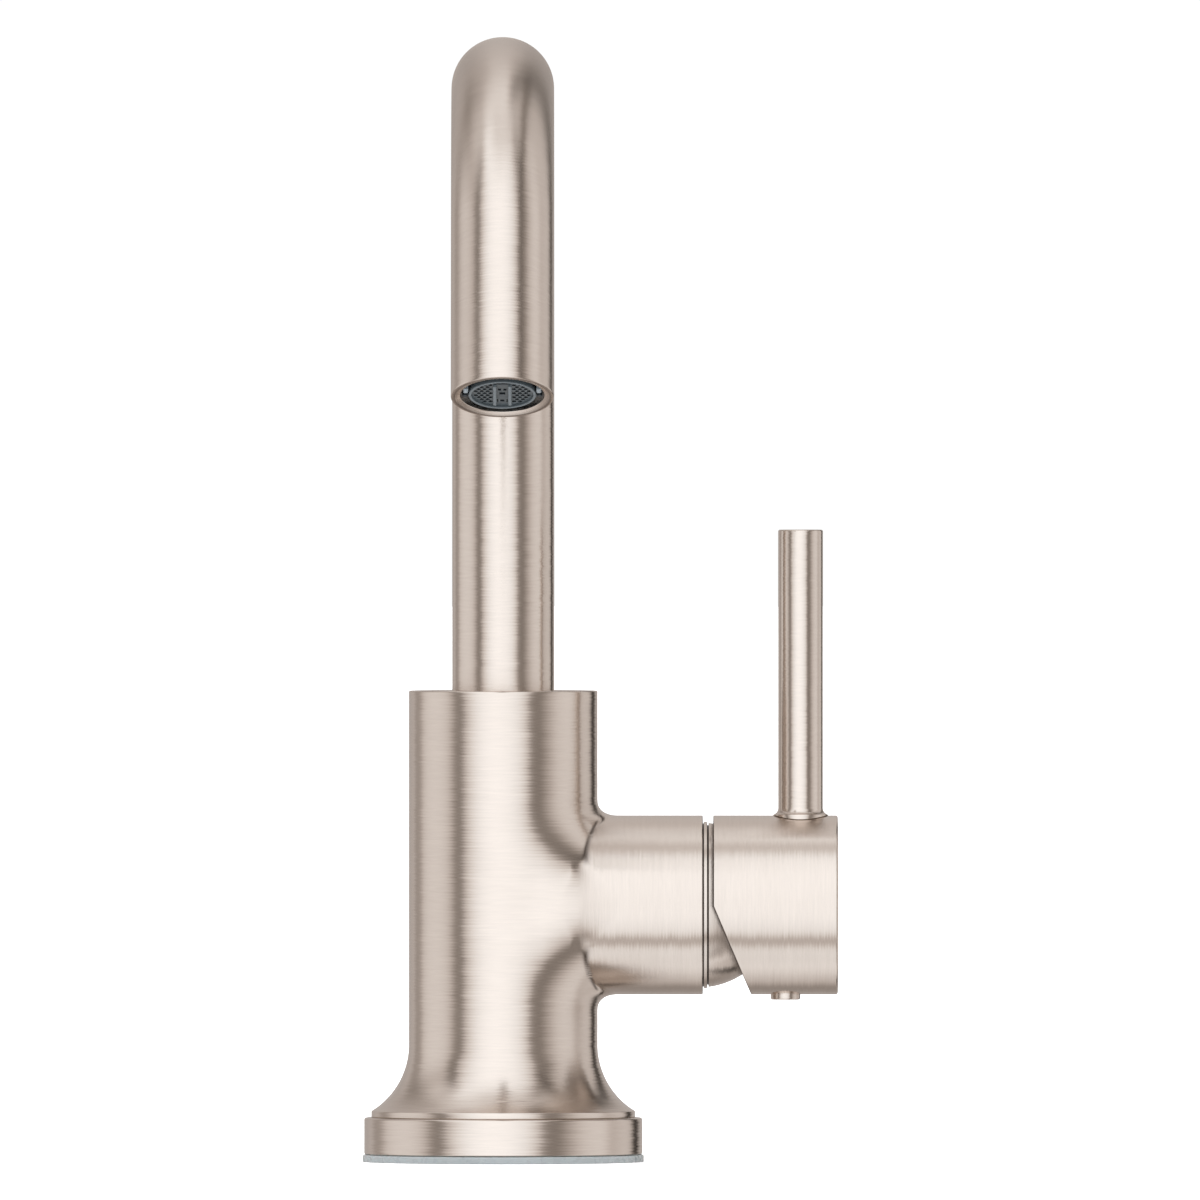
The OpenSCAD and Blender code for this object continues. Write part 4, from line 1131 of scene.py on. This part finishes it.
REAR_UP = [
    (-90, 1.2), (-76, 1.05), (-66, 0.84), (-56, 0.56), (-44, 0.36), (-28, 0.4), (-10, 0.46), (10, 0.5),
    (36, 0.66), (52, 0.74), (62, 0.9), (70, 1.06), (78, 1.14), (90, 1.1),
]
# Upper edges of the side lights, as (direction in degrees, height as a share of 90 degrees)
RIGHT_EDGE = [
    (-180, 0.42), (50, 0.42), (56, 0.5), (68, 0.58), (84, 0.62), (105, 0.62), (123, 0.57), (138, 0.44),
    (148, 0.31), (180, 0.31),
]
LEFT_EDGE = [(-180, 0.36), (-140, 0.36), (-110, 0.37), (-80, 0.39), (-60, 0.4), (180, 0.4)]
CURVE_TOP = 2.0  # the light at the top of a float curve


def curve(t, value, points, limit):
    """A float curve through points, for a value from -limit to limit."""
    n = t.node("ShaderNodeFloatCurve", {"Value": t.map_range(value, -limit, limit)})
    c = n.mapping.curves[0]
    pts = [((x + limit) / (2 * limit), y / CURVE_TOP) for x, y in points]
    c.points[0].location = pts[0]
    c.points[1].location = pts[-1]
    for p in pts[1:-1]:
        c.points.new(*p)
    for p in c.points:
        p.handle_type = "AUTO_CLAMPED"
    n.mapping.use_clip = False
    n.mapping.update()
    return t.mul(n.outputs[0], CURVE_TOP)


def edge_dip(t, az, el, points, start, end, width, depth):
    """Dims the light along the upper edge of a side light, between two directions."""
    height = t.mul(curve(t, az, points, 180), 90.0)
    off = t.math("DIVIDE", t.math("SUBTRACT", el, height), width)
    dip = t.math("EXPONENT", t.mul(t.mul(off, off), -1.0))
    comes = t.map_range(az, start - 5, start + 5)
    goes = t.map_range(az, end - 5, end + 5, 1, 0)
    amount = t.mul(t.mul(comes, goes), depth)
    return t.math("SUBTRACT", 1.0, t.mul(dip, amount))


def studio():
    world = bpy.data.worlds.new("studio")
    bpy.context.scene.world = world
    world.use_nodes = True
    t = Nodes(world.node_tree)
    x, y, z = t.separate(t.node("ShaderNodeTexCoord").outputs["Generated"])
    az = t.mul(t.math("ARCTAN2", x, t.mul(y, -1.0)), 180 / pi)
    el = t.mul(t.math("ARCSINE", z), 180 / pi)
    away, steepness = t.math("ABSOLUTE", az), t.math("ABSOLUTE", el)
    # the main softbox is wider above and below than at eye level
    rise = t.mul(t.math("MAXIMUM", el, 0.0), 0.0105)
    dip = t.mul(t.math("MINIMUM", el, 0.0), -0.006)
    near = t.map_range(away, 60, 110, 1, 0)
    wide = t.mul_add(t.math("ADD", rise, dip), near, 1.0)
    around = curve(t, t.math("DIVIDE", az, wide), AZIMUTH, 180)
    front = curve(t, el, FRONT_UP, 90)
    rear = curve(t, el, REAR_UP, 90)
    # in front, the height scales the light; behind, it sets it
    in_front = t.map_range(away, 34, 52, 1, 0, kind="SMOOTHSTEP")
    behind = t.map_range(away, 150, 166, kind="SMOOTHSTEP")
    scale = t.mul_add(t.math("SUBTRACT", front, 1.0), in_front, 1.0)
    level = t.mix(behind, t.mul(around, scale), rear)
    # towards the top and bottom only the height counts, from further up on the softbox's right side
    right = t.map_range(az, -12, 12)
    steep_from = t.mul_add(right, 20.0, 46.0)
    steep_to = t.mul_add(right, 18.0, 64.0)
    steep = t.map_range(steepness, steep_from, steep_to, kind="SMOOTHSTEP")
    rear_half = t.map_range(away, 80, 100, kind="SMOOTHSTEP")
    level = t.mix(steep, level, t.mix(rear_half, t.mul(front, 1.5), rear))
    level = t.mul(level, edge_dip(t, az, el, RIGHT_EDGE, 52, 150, 5.5, 0.72))
    level = t.mul(level, edge_dip(t, az, el, LEFT_EDGE, -145, -62, 10.0, 0.32))
    # dim light is warmer than bright light
    tint = t.mix_colour(t.mul(level, 0.72), (1.12, 0.99, 0.90, 1), (0.95, 1.0, 1.05, 1))
    light = t.node("ShaderNodeBackground", {"Color": t.vector("MULTIPLY", {0: tint, 1: level})})
    backdrop = t.node("ShaderNodeBackground", {"Color": (1, 1, 1, 1), "Strength": 1.02})
    seen = t.node("ShaderNodeLightPath").outputs["Is Camera Ray"]
    mix = t.node("ShaderNodeMixShader", {0: seen, 1: light.outputs[0], 2: backdrop.outputs[0]})
    t.node("ShaderNodeOutputWorld", {"Surface": mix.outputs[0]})


def overhead_light():
    """A broad light from above, for the floor and the duller parts. The metal reflects only the studio."""
    data = bpy.data.lights.new("overhead", "SUN")
    data.energy = 3.0
    data.angle = radians(130)
    obj = add_object("overhead", data)
    obj.rotation_euler = (radians(-12), radians(6), 0)
    obj.visible_glossy = False


def camera():
    data = bpy.data.cameras.new("camera")
    data.lens, data.sensor_width = LENS, SENSOR
    data.clip_end = 60
    obj = add_object("camera", data)
    back = Vector((0, -cos(ELEVATION), sin(ELEVATION)))
    obj.location = Vector(PICTURE_CENTRE) * MM + back * (PICTURE_WIDTH * MM * LENS / SENSOR)
    obj.rotation_mode = "QUATERNION"
    obj.rotation_quaternion = (-back).to_track_quat("-Z", "Y")
    bpy.context.scene.camera = obj


floor()
studio()
overhead_light()
camera()
bpy.context.scene.view_settings.view_transform = "Standard"
bpy.context.scene.view_settings.look = "None"
